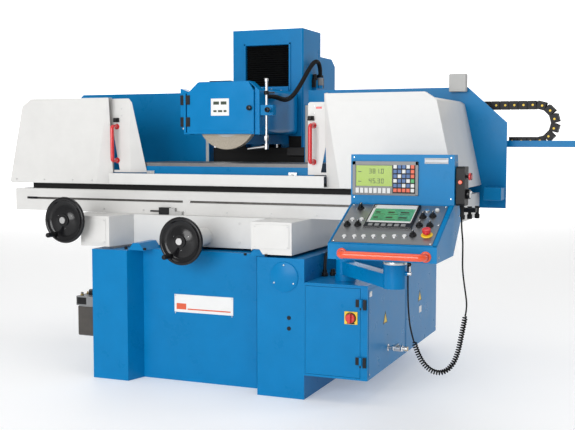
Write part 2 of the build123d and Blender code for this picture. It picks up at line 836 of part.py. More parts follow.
def mounting_plate():
    """Back plate in the cabinet with its contactors and terminals."""
    y = cabinet_depth - 45
    plate = slab(cabinet_left + 20, cabinet_right - 20, y, y + 3, cabinet_bottom + 25, cabinet_top - 25)
    for row in range(3):
        for col in range(4):
            x = cabinet_left + 35 + col * 60
            z = cabinet_bottom + 50 + row * 120
            plate += slab(x, x + 46, y - 60, y, z, z + 80)
    return plate


def hydraulic_tank():
    """Hydraulic oil tank behind the cabinet, with its drain boss."""
    y0 = cabinet_depth + 3
    body = slab(cabinet_left, cabinet_right, y0, y0 + tank_depth, cabinet_bottom, cabinet_bottom + tank_height)
    return body - slab(
        cabinet_left + 4, cabinet_right - 4, y0 + 4, y0 + tank_depth - 4,
        cabinet_bottom + 4, cabinet_bottom + tank_height - 4,
    )


def drain_place():
    """Root of the drain cock on the cabinet's right side."""
    return cabinet_right, cabinet_depth / 2 + 11, cabinet_bottom + 92


def drain_cock():
    """Ball cock on the cabinet's right side: pipe, valve body and hose tail."""
    x, y, z = drain_place()
    body = rod(9, (x, y, z), (x + 84, y, z)) + rod(15, (x + 34, y, z), (x + 62, y, z))
    body += rod(12, (x + 84, y, z), (x + 98, y, z))
    return body - rod(4.05, (x + 48, y, z + 6), (x + 48, y, z + 16))


def drain_lever():
    """Lever of the drain cock."""
    x, y, z = drain_place()
    return rod(4, (x + 48, y, z + 7), (x + 48, y, z + 22)) + slab(x + 42, x + 54, y - 70, y + 7, z + 18, z + 22)


# ---------------------------------------------------------------- control arm and panel
def arm_pedestal():
    """Pivot base of the control arm on the cabinet's top."""
    x, y = pedestal
    flange = rod(arm_hub_radius + 4, (x, y, cabinet_top), (x, y, arm_base_z - 6.3))
    return flange + rod(pin_radius, (x, y, arm_base_z - 6.3), (x, y, arm_base_z + arm_height + 4))


def swing_arm():
    """Box arm between the pivot hub and the panel's post."""
    x0, y0 = pedestal
    x1, y1 = post
    top = arm_base_z + arm_height
    reach = math.hypot(x1 - x0, y1 - y0)
    turn = math.degrees(math.atan2(y1 - y0, x1 - x0))
    box = Pos(reach / 2, 0, (arm_base_z + top) / 2) * Box(reach, 60, arm_height)
    body = Pos(x0, y0, 0) * (Rot(0, 0, turn) * box)
    body += rod(arm_hub_radius, (x0, y0, arm_base_z - 6), (x0, y0, top + 6))
    body += rod(post_radius, (x1, y1, arm_base_z + 4), (x1, y1, post_top))
    body -= rod(pin_radius + running_fit, (x0, y0, arm_base_z - 7), (x0, y0, top + 7))
    body -= rod(pin_radius + 5 + running_fit, (x1, y1, arm_base_z + 20), (x1, y1, post_top + 1))
    sx = x1 + post_radius - 6
    body += rod(9, (x1 + post_radius - 3, y1, clamp_z), (x1 + post_radius + 8, y1, clamp_z))
    return body - rod(4.05, (sx, y1, clamp_z), (x1 + post_radius + 9, y1, clamp_z))


def clamp_lever():
    """Lever screw that locks the panel's post."""
    x, y = post
    x0 = x + post_radius
    screw = rod(4, (x0 - 4, y, clamp_z), (x0 + 16, y, clamp_z))
    hub = rod(8, (x0 + 8.4, y, clamp_z), (x0 + 22, y, clamp_z))
    return screw + hub + rod(4.5, (x0 + 16, y, clamp_z), (x0 + 20, y - 14, clamp_z + 42))


PANEL_SIDE = [(-200, 720), (-200, 784), (95, 930), (95, 1141), (154, 1141), (226, 856), (92, 720)]


def panel_profile(inset):
    """Side view of the control housing, as points back from the post's axis."""
    x, y = post
    outline = make_face(Polyline(*[(x - panel_half + inset, y + a, z) for a, z in PANEL_SIDE], close=True))
    return offset(outline, amount=-inset, kind=Kind.INTERSECTION) if inset else outline


def console_point(along, side, lift=0.0):
    """A point on the sloping console, by its distance up the slope and across."""
    x, y = post
    run = 295.0
    rise = 146.0
    length = math.hypot(run, rise)
    return (
        x + side, y - 200 + (along * run - lift * rise) / length, 784 + (along * rise + lift * run) / length,
    )


def console_rod(radius, along, side, low, high):
    """A round bar that stands square on the console."""
    return rod(radius, console_point(along, side, low), console_point(along, side, high))


def console_slab(a0, a1, s0, s1, low, high):
    """A block that lies square on the console."""
    corners = [console_point(a, s0, low) for a in (a0, a1)] + [console_point(a, s0, high) for a in (a1, a0)]
    return prism(corners, RIGHT, s1 - s0)


KNOBS = {"mode_knob": (280.0, -166.0), "speed_knob": (222.0, 119.0)}
E_STOP = (85.0, 167.0)


def panel_housing():
    """Sheet housing of the control panel, with the spigot that turns in the post."""
    x, y = post
    body = extrude(panel_profile(0), amount=2 * panel_half, dir=RIGHT)
    body -= extrude(panel_profile(sheet), amount=2 * (panel_half - sheet), dir=RIGHT)
    for along, side in [*KNOBS.values(), E_STOP]:
        body -= console_rod(11, along, side, -20, 10)
    return [body, rod(pin_radius + 5, (x, y, arm_base_z + 22), (x, y, PANEL_SIDE[0][1]))]


def console_plate():
    """Steel plate on the console, drilled for the knobs."""
    plate = console_slab(10, 318, -214, 204, 0.2, 3)
    for along, side in KNOBS.values():
        plate -= console_rod(5 + button_fit, along, side, -1, 4)
    return plate - console_rod(9 + button_fit, *E_STOP, -1, 4)


def control_knob(along, side):
    """Rotary selector: round skirt, finger bar and spindle."""
    skirt = console_rod(13, along, side, 3.3, 9) + console_rod(5, along, side, -10, 5)
    return skirt + console_slab(along - 15, along + 15, side - 4.5, side + 4.5, 8, 24)


def e_stop():
    """Mushroom push button."""
    return console_rod(9, *E_STOP, -12, 22) + console_rod(17, *E_STOP, 16, 30)


def readout_unit():
    """Digital readout set on the upper face of the housing."""
    x, y = post
    front = y + 95 - 4
    body = slab(x - 217, x + 70, front, y + 95, 967, 1112)
    return body - slab(x - 203, x - 42, front - 1, front + 2, 1004, 1095)


def screen_unit():
    """Operator screen on the console, framed in dark plastic."""
    return console_slab(120, 305, -112, 92, 3, 12)


def handlebar():
    """Guard bar along the front of the housing."""
    x, y = post
    foot = y - 200.1
    reach = y - 240
    left = x - 165
    right = x + 182
    path = FilletPolyline((left, foot, 745), (left, reach, 745), (right, reach, 745), (right, foot, 745), radius=24)
    return sweep(Plane(origin=path @ 0, z_dir=path % 0) * Circle(15), path=path)


def pendant():
    """Hand pendant that hangs on the right side of the housing, with its gland."""
    x = post[0] + panel_half
    y = post[1] + 110
    body = soften(slab(x + 4, x + 40, y, y + 74, 928, 1092), Axis.X, 10)
    body += rod(7, (x + 22, y + 32, 928), (x + 22, y + 32, 880))
    body += slab(x, x + 5, y + 14, y + 60, 980, 1060)
    body += rod(6, (x + 40, y + 37, 1050), (x + 52, y + 37, 1050))
    body += rod(15, (x + 50, y + 37, 1050), (x + 62, y + 37, 1050))
    return body + rod(20, (x + 40, y + 37, 976), (x + 56, y + 37, 976))


def pendant_cord():
    """Curly cord: the pendant's lead, the coiled stretch and the lead to the housing."""
    x, y = post
    upper = [
        (248, 142, 880), (248, 142, 836), (254, 145, 780), (254, 145, 720), (254, 144, 662),
        (260, 147, 606), (268, 150, 552), (274, 153, 500), (268, 151, 462),
    ]
    coil = [
        (268, 151, 462), (260, 148, 412), (251, 143, 360), (241, 139, 304), (222, 131, 250), (186, 116, 214),
        (142, 96, 218), (104, 80, 256), (81, 69, 305), (68, 63, 352),
    ]
    lower = [
        (68, 63, 352), (55, 57, 399), (48, 55, 456), (44, 54, 512), (42, 56, 568), (39, 66, 620), (36, 76, 668),
        (36, 78, 719.8),
    ]
    return [[(x + a, y + b, z) for a, b, z in run] for run in (upper, coil, lower)]


def bent_tube(radius, points):
    """A tube along straight runs joined by the largest arcs that they allow."""
    corners = [Vector(*p) for p in points]
    radii = []
    for a, b, c in zip(corners, corners[1:], corners[2:]):
        turn = math.radians((b - a).get_angle(c - b))
        radii.append(0.45 * min((b - a).length, (c - b).length) / math.tan(turn / 2))
    path = FilletPolyline(*points, radius=radii)
    tube = sweep(Plane(origin=path @ 0, z_dir=path % 0) * Circle(radius), path=path)
    expected = math.pi * radius**2 * path.length
    print(f"tube r {radius:.1f} length {path.length:.0f} volume ratio {tube.volume / expected:.4f}")
    print("  radii", [round(r) for r in radii])
    return tube


def main():
    os.makedirs("parts", exist_ok=True)
    save("base_casting", base_casting(), cross_nut())
    save("lube_unit", *lube_unit())
    save("column_casting", column_casting(), conduit_connector())
    save("column_rear_box", column_rear_box())
    save("lift_motor", lift_motor())
    save("lift_screw", lift_screw())
    save("saddle_casting", saddle_casting())
    save("table_bed", table_bed())
    save("traverse_gearbox", traverse_gearbox())
    save("splash_tray", splash_tray())
    left = left_guard()
    save("left_guard", left)
    save("right_guard", mirror(left, about=Plane.YZ))
    save("front_apron", front_apron())
    save("left_door", *left_door())
    save("right_door", *right_door())
    save("rear_guard", rear_guard(), chain_rail())
    save("rear_curtain", rear_curtain())
    save("energy_chain", *energy_chain())
    save("table", table())
    save("traverse_cylinder", traverse_cylinder())
    save("piston_rod", piston_rod())
    wheels = {"table": (table_wheel_x, table_wheel_z), "cross": (cross_wheel_x, cross_wheel_z)}
    for name, place in wheels.items():
        save(f"{name}_handwheel", handwheel(*place))
        save(f"{name}_grip", grip(*place))
    save("table_drive_shaft", table_drive_shaft())
    save("cross_screw", cross_screw())
    save("head_casting", head_casting())
    save("wheel_guard", wheel_guard())
    save("guard_door", guard_door())
    save("guard_knob", guard_knob())
    save("spindle", spindle())
    save("grinding_wheel", grinding_wheel())
    save("wheel_flange", wheel_flange())
    save("spindle_motor", spindle_motor())
    save("coolant_clamp", coolant_clamp())
    save("coolant_pipe", coolant_pipe())
    save("column_bellows", column_bellows())
    save("conduit", bent_tube(12.5, conduit()))
    save("cabinet", cabinet(), *door_hinges())
    save("cabinet_door", cabinet_door())
    save("main_switch", main_switch())
    save("mounting_plate", mounting_plate())
    save("hydraulic_tank", hydraulic_tank())
    save("drain_cock", drain_cock())
    save("drain_lever", drain_lever())
    save("arm_pedestal", arm_pedestal())
    save("swing_arm", swing_arm())
    save("clamp_lever", clamp_lever())
    save("panel_housing", *panel_housing())
    save("console_plate", console_plate())
    for name, place in KNOBS.items():
        save(name, control_knob(*place))
    save("e_stop", e_stop())
    save("panel_displays", readout_unit(), screen_unit())
    save("handlebar", handlebar())
    save("pendant", pendant())
    upper, coil, lower = pendant_cord()
    save("cord_upper", bent_tube(3.5, upper))
    save("cord_coil", bent_tube(12, coil))
    save("cord_lower", bent_tube(3.5, lower))


main()
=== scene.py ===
import json
from math import cos, hypot, pi, radians, sin

import bmesh
import bpy
from mathutils import Matrix, Vector


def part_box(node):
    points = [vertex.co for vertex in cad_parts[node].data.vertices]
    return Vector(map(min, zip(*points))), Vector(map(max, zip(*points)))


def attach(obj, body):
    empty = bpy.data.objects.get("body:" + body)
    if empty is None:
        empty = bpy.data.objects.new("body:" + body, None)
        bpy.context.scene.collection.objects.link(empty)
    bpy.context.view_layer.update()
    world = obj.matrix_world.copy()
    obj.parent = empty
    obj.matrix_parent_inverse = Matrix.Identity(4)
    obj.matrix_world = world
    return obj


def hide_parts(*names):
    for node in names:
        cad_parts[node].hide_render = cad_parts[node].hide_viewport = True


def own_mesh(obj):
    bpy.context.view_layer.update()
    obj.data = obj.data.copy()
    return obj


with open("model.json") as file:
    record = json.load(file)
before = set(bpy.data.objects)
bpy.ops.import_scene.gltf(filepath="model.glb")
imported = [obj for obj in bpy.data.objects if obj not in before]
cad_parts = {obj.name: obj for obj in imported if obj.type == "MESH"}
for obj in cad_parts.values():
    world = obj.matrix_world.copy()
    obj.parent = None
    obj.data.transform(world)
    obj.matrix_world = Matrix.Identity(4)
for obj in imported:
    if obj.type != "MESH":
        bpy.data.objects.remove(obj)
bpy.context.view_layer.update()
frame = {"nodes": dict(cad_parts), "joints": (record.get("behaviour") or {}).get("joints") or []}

joints = {j["name"]: j for j in frame["joints"]}
MM = 0.001
DEPTH = 750.0  # machine Y of the row frame's origin
RIGHT, LEFT, BACK, FRONT, UP = (1, 0, 0), (-1, 0, 0), (0, 1, 0), (0, -1, 0), (0, 0, 1)
FLOOR_LEVEL = -0.0005


def point(x, y, z):
    """Millimetres, with Y measured back from the base's front face, to the row frame."""
    return Vector((x * MM, (y - DEPTH) * MM, z * MM))


def span(node):
    """A CAD node's box in the same millimetres: x0, x1, y0, y1, z0, z1."""
    low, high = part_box(node)
    return (
        low[0] / MM, high[0] / MM, low[1] / MM + DEPTH, high[1] / MM + DEPTH, low[2] / MM, high[2] / MM,
    )


def joint_place(name):
    x, y, z = joints[name]["pos_m"]
    return x / MM, y / MM + DEPTH, z / MM


def linked(name, data):
    """A new object in the scene."""
    made = bpy.data.objects.new(name, data)
    bpy.context.scene.collection.objects.link(made)
    return made


# ------ camera
eye = Vector((2.192, -4.900, 1.200))
look = Vector((-0.3782, 0.9226, -0.0760))
camera_data = bpy.data.cameras.new("camera")
camera_data.lens = 61.1
camera_data.sensor_width = 36.0
camera = linked("camera", camera_data)
camera.location = eye
camera.rotation_euler = look.to_track_quat("-Z", "Y").to_euler()
bpy.context.scene.camera = camera
bpy.context.scene.view_settings.view_transform = "Standard"


# ------ materials
def put(node, **values):
    """Sets a node's input sockets, with _ for the spaces in their names."""
    for socket, value in values.items():
        node.inputs[socket.replace("_", " ")].default_value = value


def material(
    name, color, rough, metal=0.0, coat=0.0, spread=0.06, scale=9.0, bump=0.05, grain=700.0,
    stretch=(1, 1, 1), rough_spread=0.1, glow=0.0, grime=0.0, sheen=0.0, mirror=0.5,
):
    """A procedural finish: slow colour drift, fine surface relief and uneven gloss."""
    made = bpy.data.materials.new(name)
    made.use_nodes = True
    tree = made.node_tree
    new, link = tree.nodes.new, tree.links.new
    shader = tree.nodes["Principled BSDF"]
    put(
        shader, Metallic=metal, Coat_Weight=coat, Coat_Roughness=0.12, Specular_IOR_Level=mirror,
        Sheen_Weight=sheen,
    )
    place = new("ShaderNodeTexCoord")
    mapping = new("ShaderNodeMapping")
    put(mapping, Scale=stretch)
    link(place.outputs["Object"], mapping.inputs["Vector"])
    slow = new("ShaderNodeTexNoise")
    put(slow, Scale=scale, Detail=6, Roughness=0.6)
    link(mapping.outputs["Vector"], slow.inputs["Vector"])
    ramp = new("ShaderNodeValToRGB")
    ramp.color_ramp.elements[0].position = 0.32
    ramp.color_ramp.elements[1].position = 0.68
    ramp.color_ramp.elements[0].color = [c * (1 - spread) for c in color] + [1]
    ramp.color_ramp.elements[1].color = [min(1, c * (1 + spread)) for c in color] + [1]
    link(slow.outputs["Fac"], ramp.inputs["Fac"])
    base = ramp.outputs["Color"]
    if grime:
        spots = new("ShaderNodeTexNoise")
        put(spots, Scale=3.1, Detail=9, Roughness=0.72)
        link(place.outputs["Object"], spots.inputs["Vector"])
        amount = new("ShaderNodeMapRange")
        put(amount, From_Min=0.56, From_Max=0.8, To_Max=grime)
        link(spots.outputs["Fac"], amount.inputs["Value"])
        mix = new("ShaderNodeMix")
        mix.data_type = "RGBA"
        link(amount.outputs["Result"], mix.inputs[0])
        link(base, mix.inputs[6])
        mix.inputs[7].default_value = [c * 0.45 + 0.01 for c in color] + [1]
        base = mix.outputs[2]
    link(base, shader.inputs["Base Color"])
    gloss = new("ShaderNodeMapRange")
    put(gloss, To_Min=max(0.03, rough - rough_spread), To_Max=min(1, rough + rough_spread))
    link(slow.outputs["Fac"], gloss.inputs["Value"])
    link(gloss.outputs["Result"], shader.inputs["Roughness"])
    fine = new("ShaderNodeTexNoise")
    put(fine, Scale=grain, Detail=3)
    link(mapping.outputs["Vector"], fine.inputs["Vector"])
    relief = new("ShaderNodeBump")
    put(relief, Strength=bump, Distance=0.001)
    link(fine.outputs["Fac"], relief.inputs["Height"])
    link(relief.outputs["Normal"], shader.inputs["Normal"])
    if glow:
        link(base, shader.inputs["Emission Color"])
        put(shader, Emission_Strength=glow)
    return made


blue = material(
    "blue_enamel", (0.0, 0.175, 0.42), 0.3, coat=0.02, spread=0.05, bump=0.03, grain=420, grime=0.1,
    mirror=0.14,
)
blue_head = material(
    "blue_gloss", (0.0, 0.185, 0.45), 0.18, coat=0.05, spread=0.04, bump=0.02, grain=300, grime=0.06,
    mirror=0.2,
)
white = material(
    "white_enamel", (0.64, 0.635, 0.62), 0.38, coat=0.08, spread=0.025, bump=0.04, grain=520, grime=0.07,
)
iron = material(
    "ground_iron", (0.40, 0.40, 0.385), 0.33, metal=0.85, spread=0.10, scale=14, bump=0.12, grain=260,
    stretch=(1, 14, 14), grime=0.25,
)
# ground iron of the table, made darker than ground_iron as the painted shade its top shows when seen
# edge-on; the spots are dirt
table_iron = material(
    "table_iron", (0.15, 0.148, 0.15), 0.42, metal=0.55, spread=0.12, scale=16, bump=0.1,
    stretch=(1, 12, 1), grime=0.3,
)
# near-black finish used only for the painted shade inside the bed's slot; its spots are dirt
dark_iron = material(
    "slot_shade_iron", (0.09, 0.085, 0.08), 0.42, metal=0.6, spread=0.25, scale=30, bump=0.2, grime=0.4,
)
steel = material(
    "satin_steel", (0.58, 0.58, 0.58), 0.3, metal=1.0, scale=20, bump=0.06, grain=500, stretch=(1, 8, 8),
    rough_spread=0.08,
)
brushed = material(
    "brushed_plate", (0.30, 0.31, 0.32), 0.32, metal=0.9, spread=0.05, scale=12, bump=0.1, grain=300,
    stretch=(0.6, 18, 18), rough_spread=0.08,
)
chrome = material(
    "polished_steel", (0.72, 0.72, 0.72), 0.12, metal=1.0, spread=0.03, bump=0.01, rough_spread=0.05,
)
black = material(
    "black_moulding", (0.010, 0.010, 0.011), 0.4, spread=0.2, scale=40, bump=0.16, grain=1500, mirror=0.2,
)
gloss_black = material(
    "black_bakelite", (0.006, 0.006, 0.007), 0.17, coat=0.15, spread=0.15, bump=0.03, rough_spread=0.06,
    mirror=0.25,
)
rubber = material(
    "black_rubber", (0.008, 0.008, 0.008), 0.58, spread=0.2, scale=60, bump=0.2, grain=900, mirror=0.15,
)
grey = material("grey_moulding", (0.20, 0.205, 0.21), 0.45, spread=0.08, bump=0.12, grain=1200)
pale_grey = material("pale_grey", (0.42, 0.42, 0.41), 0.45, bump=0.08, grime=0.1)
smoke = material("smoked_reservoir", (0.035, 0.03, 0.025), 0.14, coat=0.5, spread=0.25, scale=16, bump=0.02)
red = material("red_handle", (0.62, 0.018, 0.022), 0.28, coat=0.35, grain=900)
orange = material("orange_bar", (0.74, 0.075, 0.018), 0.25, coat=0.4, spread=0.05, bump=0.04, grain=600)
yellow = material("yellow_mark", (0.80, 0.53, 0.02), 0.4, spread=0.05, bump=0.04)
label = material("blank_label", (0.74, 0.74, 0.73), 0.35, spread=0.03, bump=0.02, grain=300)
silver_label = material(
    "silver_label", (0.34, 0.35, 0.37), 0.42, metal=0.4, spread=0.04, bump=0.03, stretch=(1, 10, 10),
)
lcd = material("lcd_green", (0.24, 0.36, 0.03), 0.3, coat=0.1, spread=0.05, bump=0.0, glow=0.2)
screen = material(
    "screen_green", (0.05, 0.27, 0.14), 0.2, coat=0.4, spread=0.2, scale=30, bump=0.0, glow=0.15,
)
ink = material("dark_segments", (0.02, 0.035, 0.015), 0.35, spread=0.1, bump=0.02)
key_white = material("white_keys", (0.62, 0.63, 0.63), 0.4, spread=0.03)
key_blue = material("blue_keys", (0.045, 0.12, 0.30), 0.42, spread=0.05)
key_red = material("red_keys", (0.65, 0.09, 0.03), 0.4, spread=0.05)
key_green = material("green_keys", (0.04, 0.33, 0.09), 0.4, spread=0.05)
brass = material(
    "worn_brass", (0.52, 0.37, 0.14), 0.33, metal=0.9, spread=0.12, scale=30, bump=0.08, grime=0.2,
)
abrasive = material(
    "abrasive_grit", (0.40, 0.355, 0.285), 0.85, spread=0.16, scale=240, bump=0.9, grain=1400,
    rough_spread=0.05,
)
floor_finish = material("pale_floor", (0.80, 0.80, 0.80), 0.6, spread=0.012, scale=1.2, bump=0.01, glow=0.3)
backdrop_finish = material("backdrop", (0.86, 0.86, 0.86), 0.8, spread=0.01, scale=1.2, bump=0.01, glow=0.9)

# the slot a piece in each finish has, unless it names its own
slot_of = {
    finish: slot
    for slot, group in {
        "blue_paint": (blue, blue_head),
        "white_paint": (white, label),
        "bright_steel": (steel, chrome, silver_label),
        "black_plastic": (black, gloss_black, ink),
        "black_rubber": (rubber,),
        "red_plastic": (red, key_red),
        "orange_paint": (orange,),
        "brass": (yellow, brass),
        "grey_plastic": (grey, pale_grey, smoke, key_white, screen, lcd),
        "machined_iron": (dark_iron,),
    }.items()
    for finish in group
}


# ------ mesh building
class Piece:
    """Builds one mesh piece out of shaped bodies, in the model's millimetres."""

    def __init__(self, name, finish, body, edge=0.8, slot=None):
        self.name, self.finish, self.body, self.edge = name, finish, body, edge
        self.slot = slot or slot_of[finish]
        self.mesh = bmesh.new()

    def _add(self, corners, faces, place=None):
        verts = []
        for corner in corners:
            local = Vector(corner)
            if place is not None:
                local = place @ local
            verts.append(self.mesh.verts.new(point(*local)))
        for face in faces:
            self.mesh.faces.new([verts[i] for i in face])

    def block(self, x0, x1, y0, y1, z0, z1, place=None, draft=0.0):
        """A block whose far Z end may be drawn in by a draft, as on a moulded key."""
        d = draft
        corners = [
            (x0, y0, z0), (x1, y0, z0), (x1, y1, z0), (x0, y1, z0),
            (x0 + d, y0 + d, z1), (x1 - d, y0 + d, z1), (x1 - d, y1 - d, z1), (x0 + d, y1 - d, z1),
        ]
        faces = [(3, 2, 1, 0), (4, 5, 6, 7), (0, 1, 5, 4), (1, 2, 6, 5), (2, 3, 7, 6), (3, 0, 4, 7)]
        self._add(corners, faces, place)
        return self

    def prism(self, outline, push, place=None):
        """An outline of points, pushed along a vector."""
        n = len(outline)
        push = Vector(push)
        corners = [Vector(p) for p in outline] + [Vector(p) + push for p in outline]
        faces = [tuple(range(n))[::-1], tuple(range(n, 2 * n))]
        faces += [(i, (i + 1) % n, n + (i + 1) % n, n + i) for i in range(n)]
        self._add(corners, faces, place)
        return self

    def turned(self, profile, origin, axis, steps=40, place=None):
        """A profile of (radius, height) turned round an axis."""
        rotate = Vector((0, 0, 1)).rotation_difference(Vector(axis)).to_matrix().to_4x4()
        local = Matrix.Translation(Vector(origin)) @ rotate
        if place is not None:
            local = place @ local
        rings = []
        for radius, height in profile:
            if radius < 1e-6:
                rings.append([self.mesh.verts.new(point(*(local @ Vector((0, 0, height)))))])
                continue
            ring = []
            for i in range(steps):
                turn = 2 * pi * i / steps
                spot = local @ Vector((radius * cos(turn), radius * sin(turn), height))
                ring.append(self.mesh.verts.new(point(*spot)))
            rings.append(ring)
        for a, b in zip(rings, rings[1:]):
            for i in range(steps):
                j = (i + 1) % steps
                if len(a) == 1 and len(b) == 1:
                    continue
                if len(a) == 1:
                    self.mesh.faces.new((a[0], b[i], b[j]))
                elif len(b) == 1:
                    self.mesh.faces.new((a[i], a[j], b[0]))
                else:
                    self.mesh.faces.new((a[i], a[j], b[j], b[i]))
        return self

    def screw(self, origin, axis, radius=5.0, place=None):
        """A socket screw head with a sunk hexagon."""
        r = radius
        profile = [
            (r, -0.3), (r, r * 0.35), (r * 0.82, r * 0.6), (r * 0.5, r * 0.64), (
                r * 0.46, r * 0.22,
            ), (0, r * 0.22),
        ]
        return self.turned(profile, origin, axis, 18, place)

    def bar(self, path, radius, steps=14):
        """A round bar that follows points."""
        curve = smooth_line(path)
        along_tube(self.mesh, curve, radius * MM, steps)
        return self

    def done(self, smooth=35.0):
        bmesh.ops.recalc_face_normals(self.mesh, faces=self.mesh.faces)
        data = bpy.data.meshes.new(self.name)
        self.mesh.to_mesh(data)
        self.mesh.free()
        made = linked(self.name, data)
        data.materials.append(self.finish)
        for face in data.polygons:
            face.use_smooth = True
        data.set_sharp_from_angle(angle=radians(smooth))
        if self.edge:
            rounding = made.modifiers.new("edges", "BEVEL")
            rounding.width = self.edge * MM
            rounding.segments = 2
            rounding.limit_method = "ANGLE"
            rounding.angle_limit = radians(38)
            rounding.harden_normals = True
        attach(made, self.body)
        return made


def nurbs(name, points, weight=None):
    """A smooth curve with these points, in the row frame, as its control points."""
    data = bpy.data.curves.new(name, "CURVE")
    data.dimensions = "3D"
    spline = data.splines.new("NURBS")
    spline.points.add(len(points) - 1)
    for slot_point, spot in zip(spline.points, points):
        slot_point.co = (*spot, 1)
    spline.order_u = 3
    spline.use_endpoint_u = True
    spline.resolution_u = 8
    return data


def line_of(spots):
    """Points read off the smooth curve through a route in the row frame."""
    data = nurbs("route", spots)
    holder = bpy.data.objects.new("route", data)
    line = bpy.data.meshes.new_from_object(holder)
    found = [v.co.copy() for v in line.vertices]
    bpy.data.objects.remove(holder)
    bpy.data.curves.remove(data)
    bpy.data.meshes.remove(line)
    return found


def smooth_line(path):
    """The same for a route given in millimetres."""
    return line_of([point(*p) for p in path])


def path_length(line):
    return sum((b - a).length for a, b in zip(line, line[1:]))


def along_tube(mesh, spots, radius, steps):
    """Rings round a line of points, joined into a closed tube."""
    side = None
    rings = []
    for i, spot in enumerate(spots):
        run = (spots[min(i + 1, len(spots) - 1)] - spots[max(i - 1, 0)]).normalized()
        if side is None:
            side = run.orthogonal().normalized()
        side = (side - run * side.dot(run)).normalized()
        other = run.cross(side)
        ring = []
        for k in range(steps):
            turn = 2 * pi * k / steps
            ring.append(mesh.verts.new(spot + (side * cos(turn) + other * sin(turn)) * radius))
        rings.append(ring)
    for a, b in zip(rings, rings[1:]):
        for k in range(steps):
            n = (k + 1) % steps
            mesh.faces.new((a[k], a[n], b[n], b[k]))
    mesh.faces.new(rings[0][::-1])
    mesh.faces.new(rings[-1])


# ------ cords
POST = (1070.0, -230.0)


def from_post(route):
    return [point(POST[0] + a, POST[1] + b, z) for a, b, z in route]


upper_route = from_post([
    (248, 142, 880), (248, 142, 836), (254, 145, 780), (254, 145, 720), (254, 144, 662),
    (260, 147, 606), (268, 150, 552), (274, 153, 500), (268, 151, 462),
])
coil_route = from_post([
    (268, 151, 462), (260, 148, 412), (251, 143, 360), (241, 139, 304), (222, 131, 250), (186, 116, 214),
    (142, 96, 218), (104, 80, 256), (81, 69, 305), (68, 63, 352),
])
lower_route = from_post([
    (68, 63, 352), (55, 57, 399), (48, 55, 456), (44, 54, 512), (42, 56, 568), (39, 66, 620), (36, 76, 668),
    (36, 78, 719.8),
])


def cord_object(name, spots, diameter):
    data = nurbs(name, spots)
    data.bevel_depth = diameter / 2
    data.bevel_resolution = 5
    data.use_fill_caps = True
    made = linked(name, data)
    data.materials.append(rubber)
    return made


def helix_points(spots, radius, turns, per_turn=16):
    """Points of a curly cord's turns round the route's own smooth line."""
    line = line_of(spots)
    lengths = [0.0]
    for a, b in zip(line, line[1:]):
        lengths.append(lengths[-1] + (b - a).length)
    total = lengths[-1]
    count = int(turns * per_turn)
    side = None
    made = []
    index = 0
    for i in range(count + 1):
        want = total * i / count
        while index < len(line) - 2 and lengths[index + 1] < want:
            index += 1
        share = (want - lengths[index]) / max(1e-9, lengths[index + 1] - lengths[index])
        spot = line[index].lerp(line[index + 1], share)
        low = max(index - 2, 0)
        high = min(index + 3, len(line) - 1)
        run = (line[high] - line[low]).normalized()
        if side is None:
            side = run.orthogonal().normalized()
        side = (side - run * side.dot(run)).normalized()
        other = run.cross(side)
        turn = 2 * pi * i / per_turn
        ease = min(1.0, i / per_turn, (count - i) / per_turn)
        made.append(spot + (side * cos(turn) + other * sin(turn)) * radius * ease)
    return made


cord_d, coil_d = 0.007, 0.0062
coil_radius, coil_turns = 0.0089, 44
upper_cord = cord_object("pendant_lead", upper_route, cord_d)
coil_spots = helix_points(coil_route, coil_radius, coil_turns)
coil_cord = cord_object("pendant_coil", coil_spots, coil_d)
lower_cord = cord_object("pendant_lead_lower", lower_route, cord_d)
for cord, nodes, exit_point, length, size in (
    (upper_cord, "cord_upper", upper_route[0], path_length(line_of(upper_route)), cord_d),
    (coil_cord, "cord_coil", upper_route[-1], path_length(line_of(coil_spots)), coil_d),
    (lower_cord, "cord_lower", coil_route[-1], path_length(line_of(lower_route)), cord_d),
):
    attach(cord, "panel")
    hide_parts(nodes)

# ------ finishes of the CAD nodes
finishes = {
    blue: ["base_casting", "column_casting", "column_rear_box", "coolant_clamp", "rear_guard", "cabinet",
           "cabinet_door", "hydraulic_tank", "swing_arm", "arm_pedestal", "panel_housing", "lift_motor"],
    blue_head: ["head_casting", "wheel_guard", "guard_door"],
    white: ["saddle_casting", "table_bed", "traverse_gearbox", "splash_tray", "left_guard", "right_guard",
            "front_apron", "left_door", "right_door"],
    iron: ["spindle_motor"],
    table_iron: ["table"],
    pale_grey: ["mounting_plate"],
    steel: ["lift_screw", "piston_rod", "table_drive_shaft", "cross_screw", "spindle", "wheel_flange",
            "coolant_pipe", "clamp_lever", "drain_cock", "drain_lever", "traverse_cylinder"],
    brushed: ["console_plate"],
    black: ["table_grip", "cross_grip", "mode_knob", "speed_knob", "pendant", "guard_knob"],
    rubber: ["rear_curtain"],
    grey: ["lube_unit", "panel_displays"],
    red: ["e_stop", "main_switch"],
    orange: ["handlebar"],
    abrasive: ["grinding_wheel"],
}
for finish, names in finishes.items():
    for name in names:
        node = frame["nodes"][name]
        node.data.materials.clear()
        node.data.materials.append(finish)

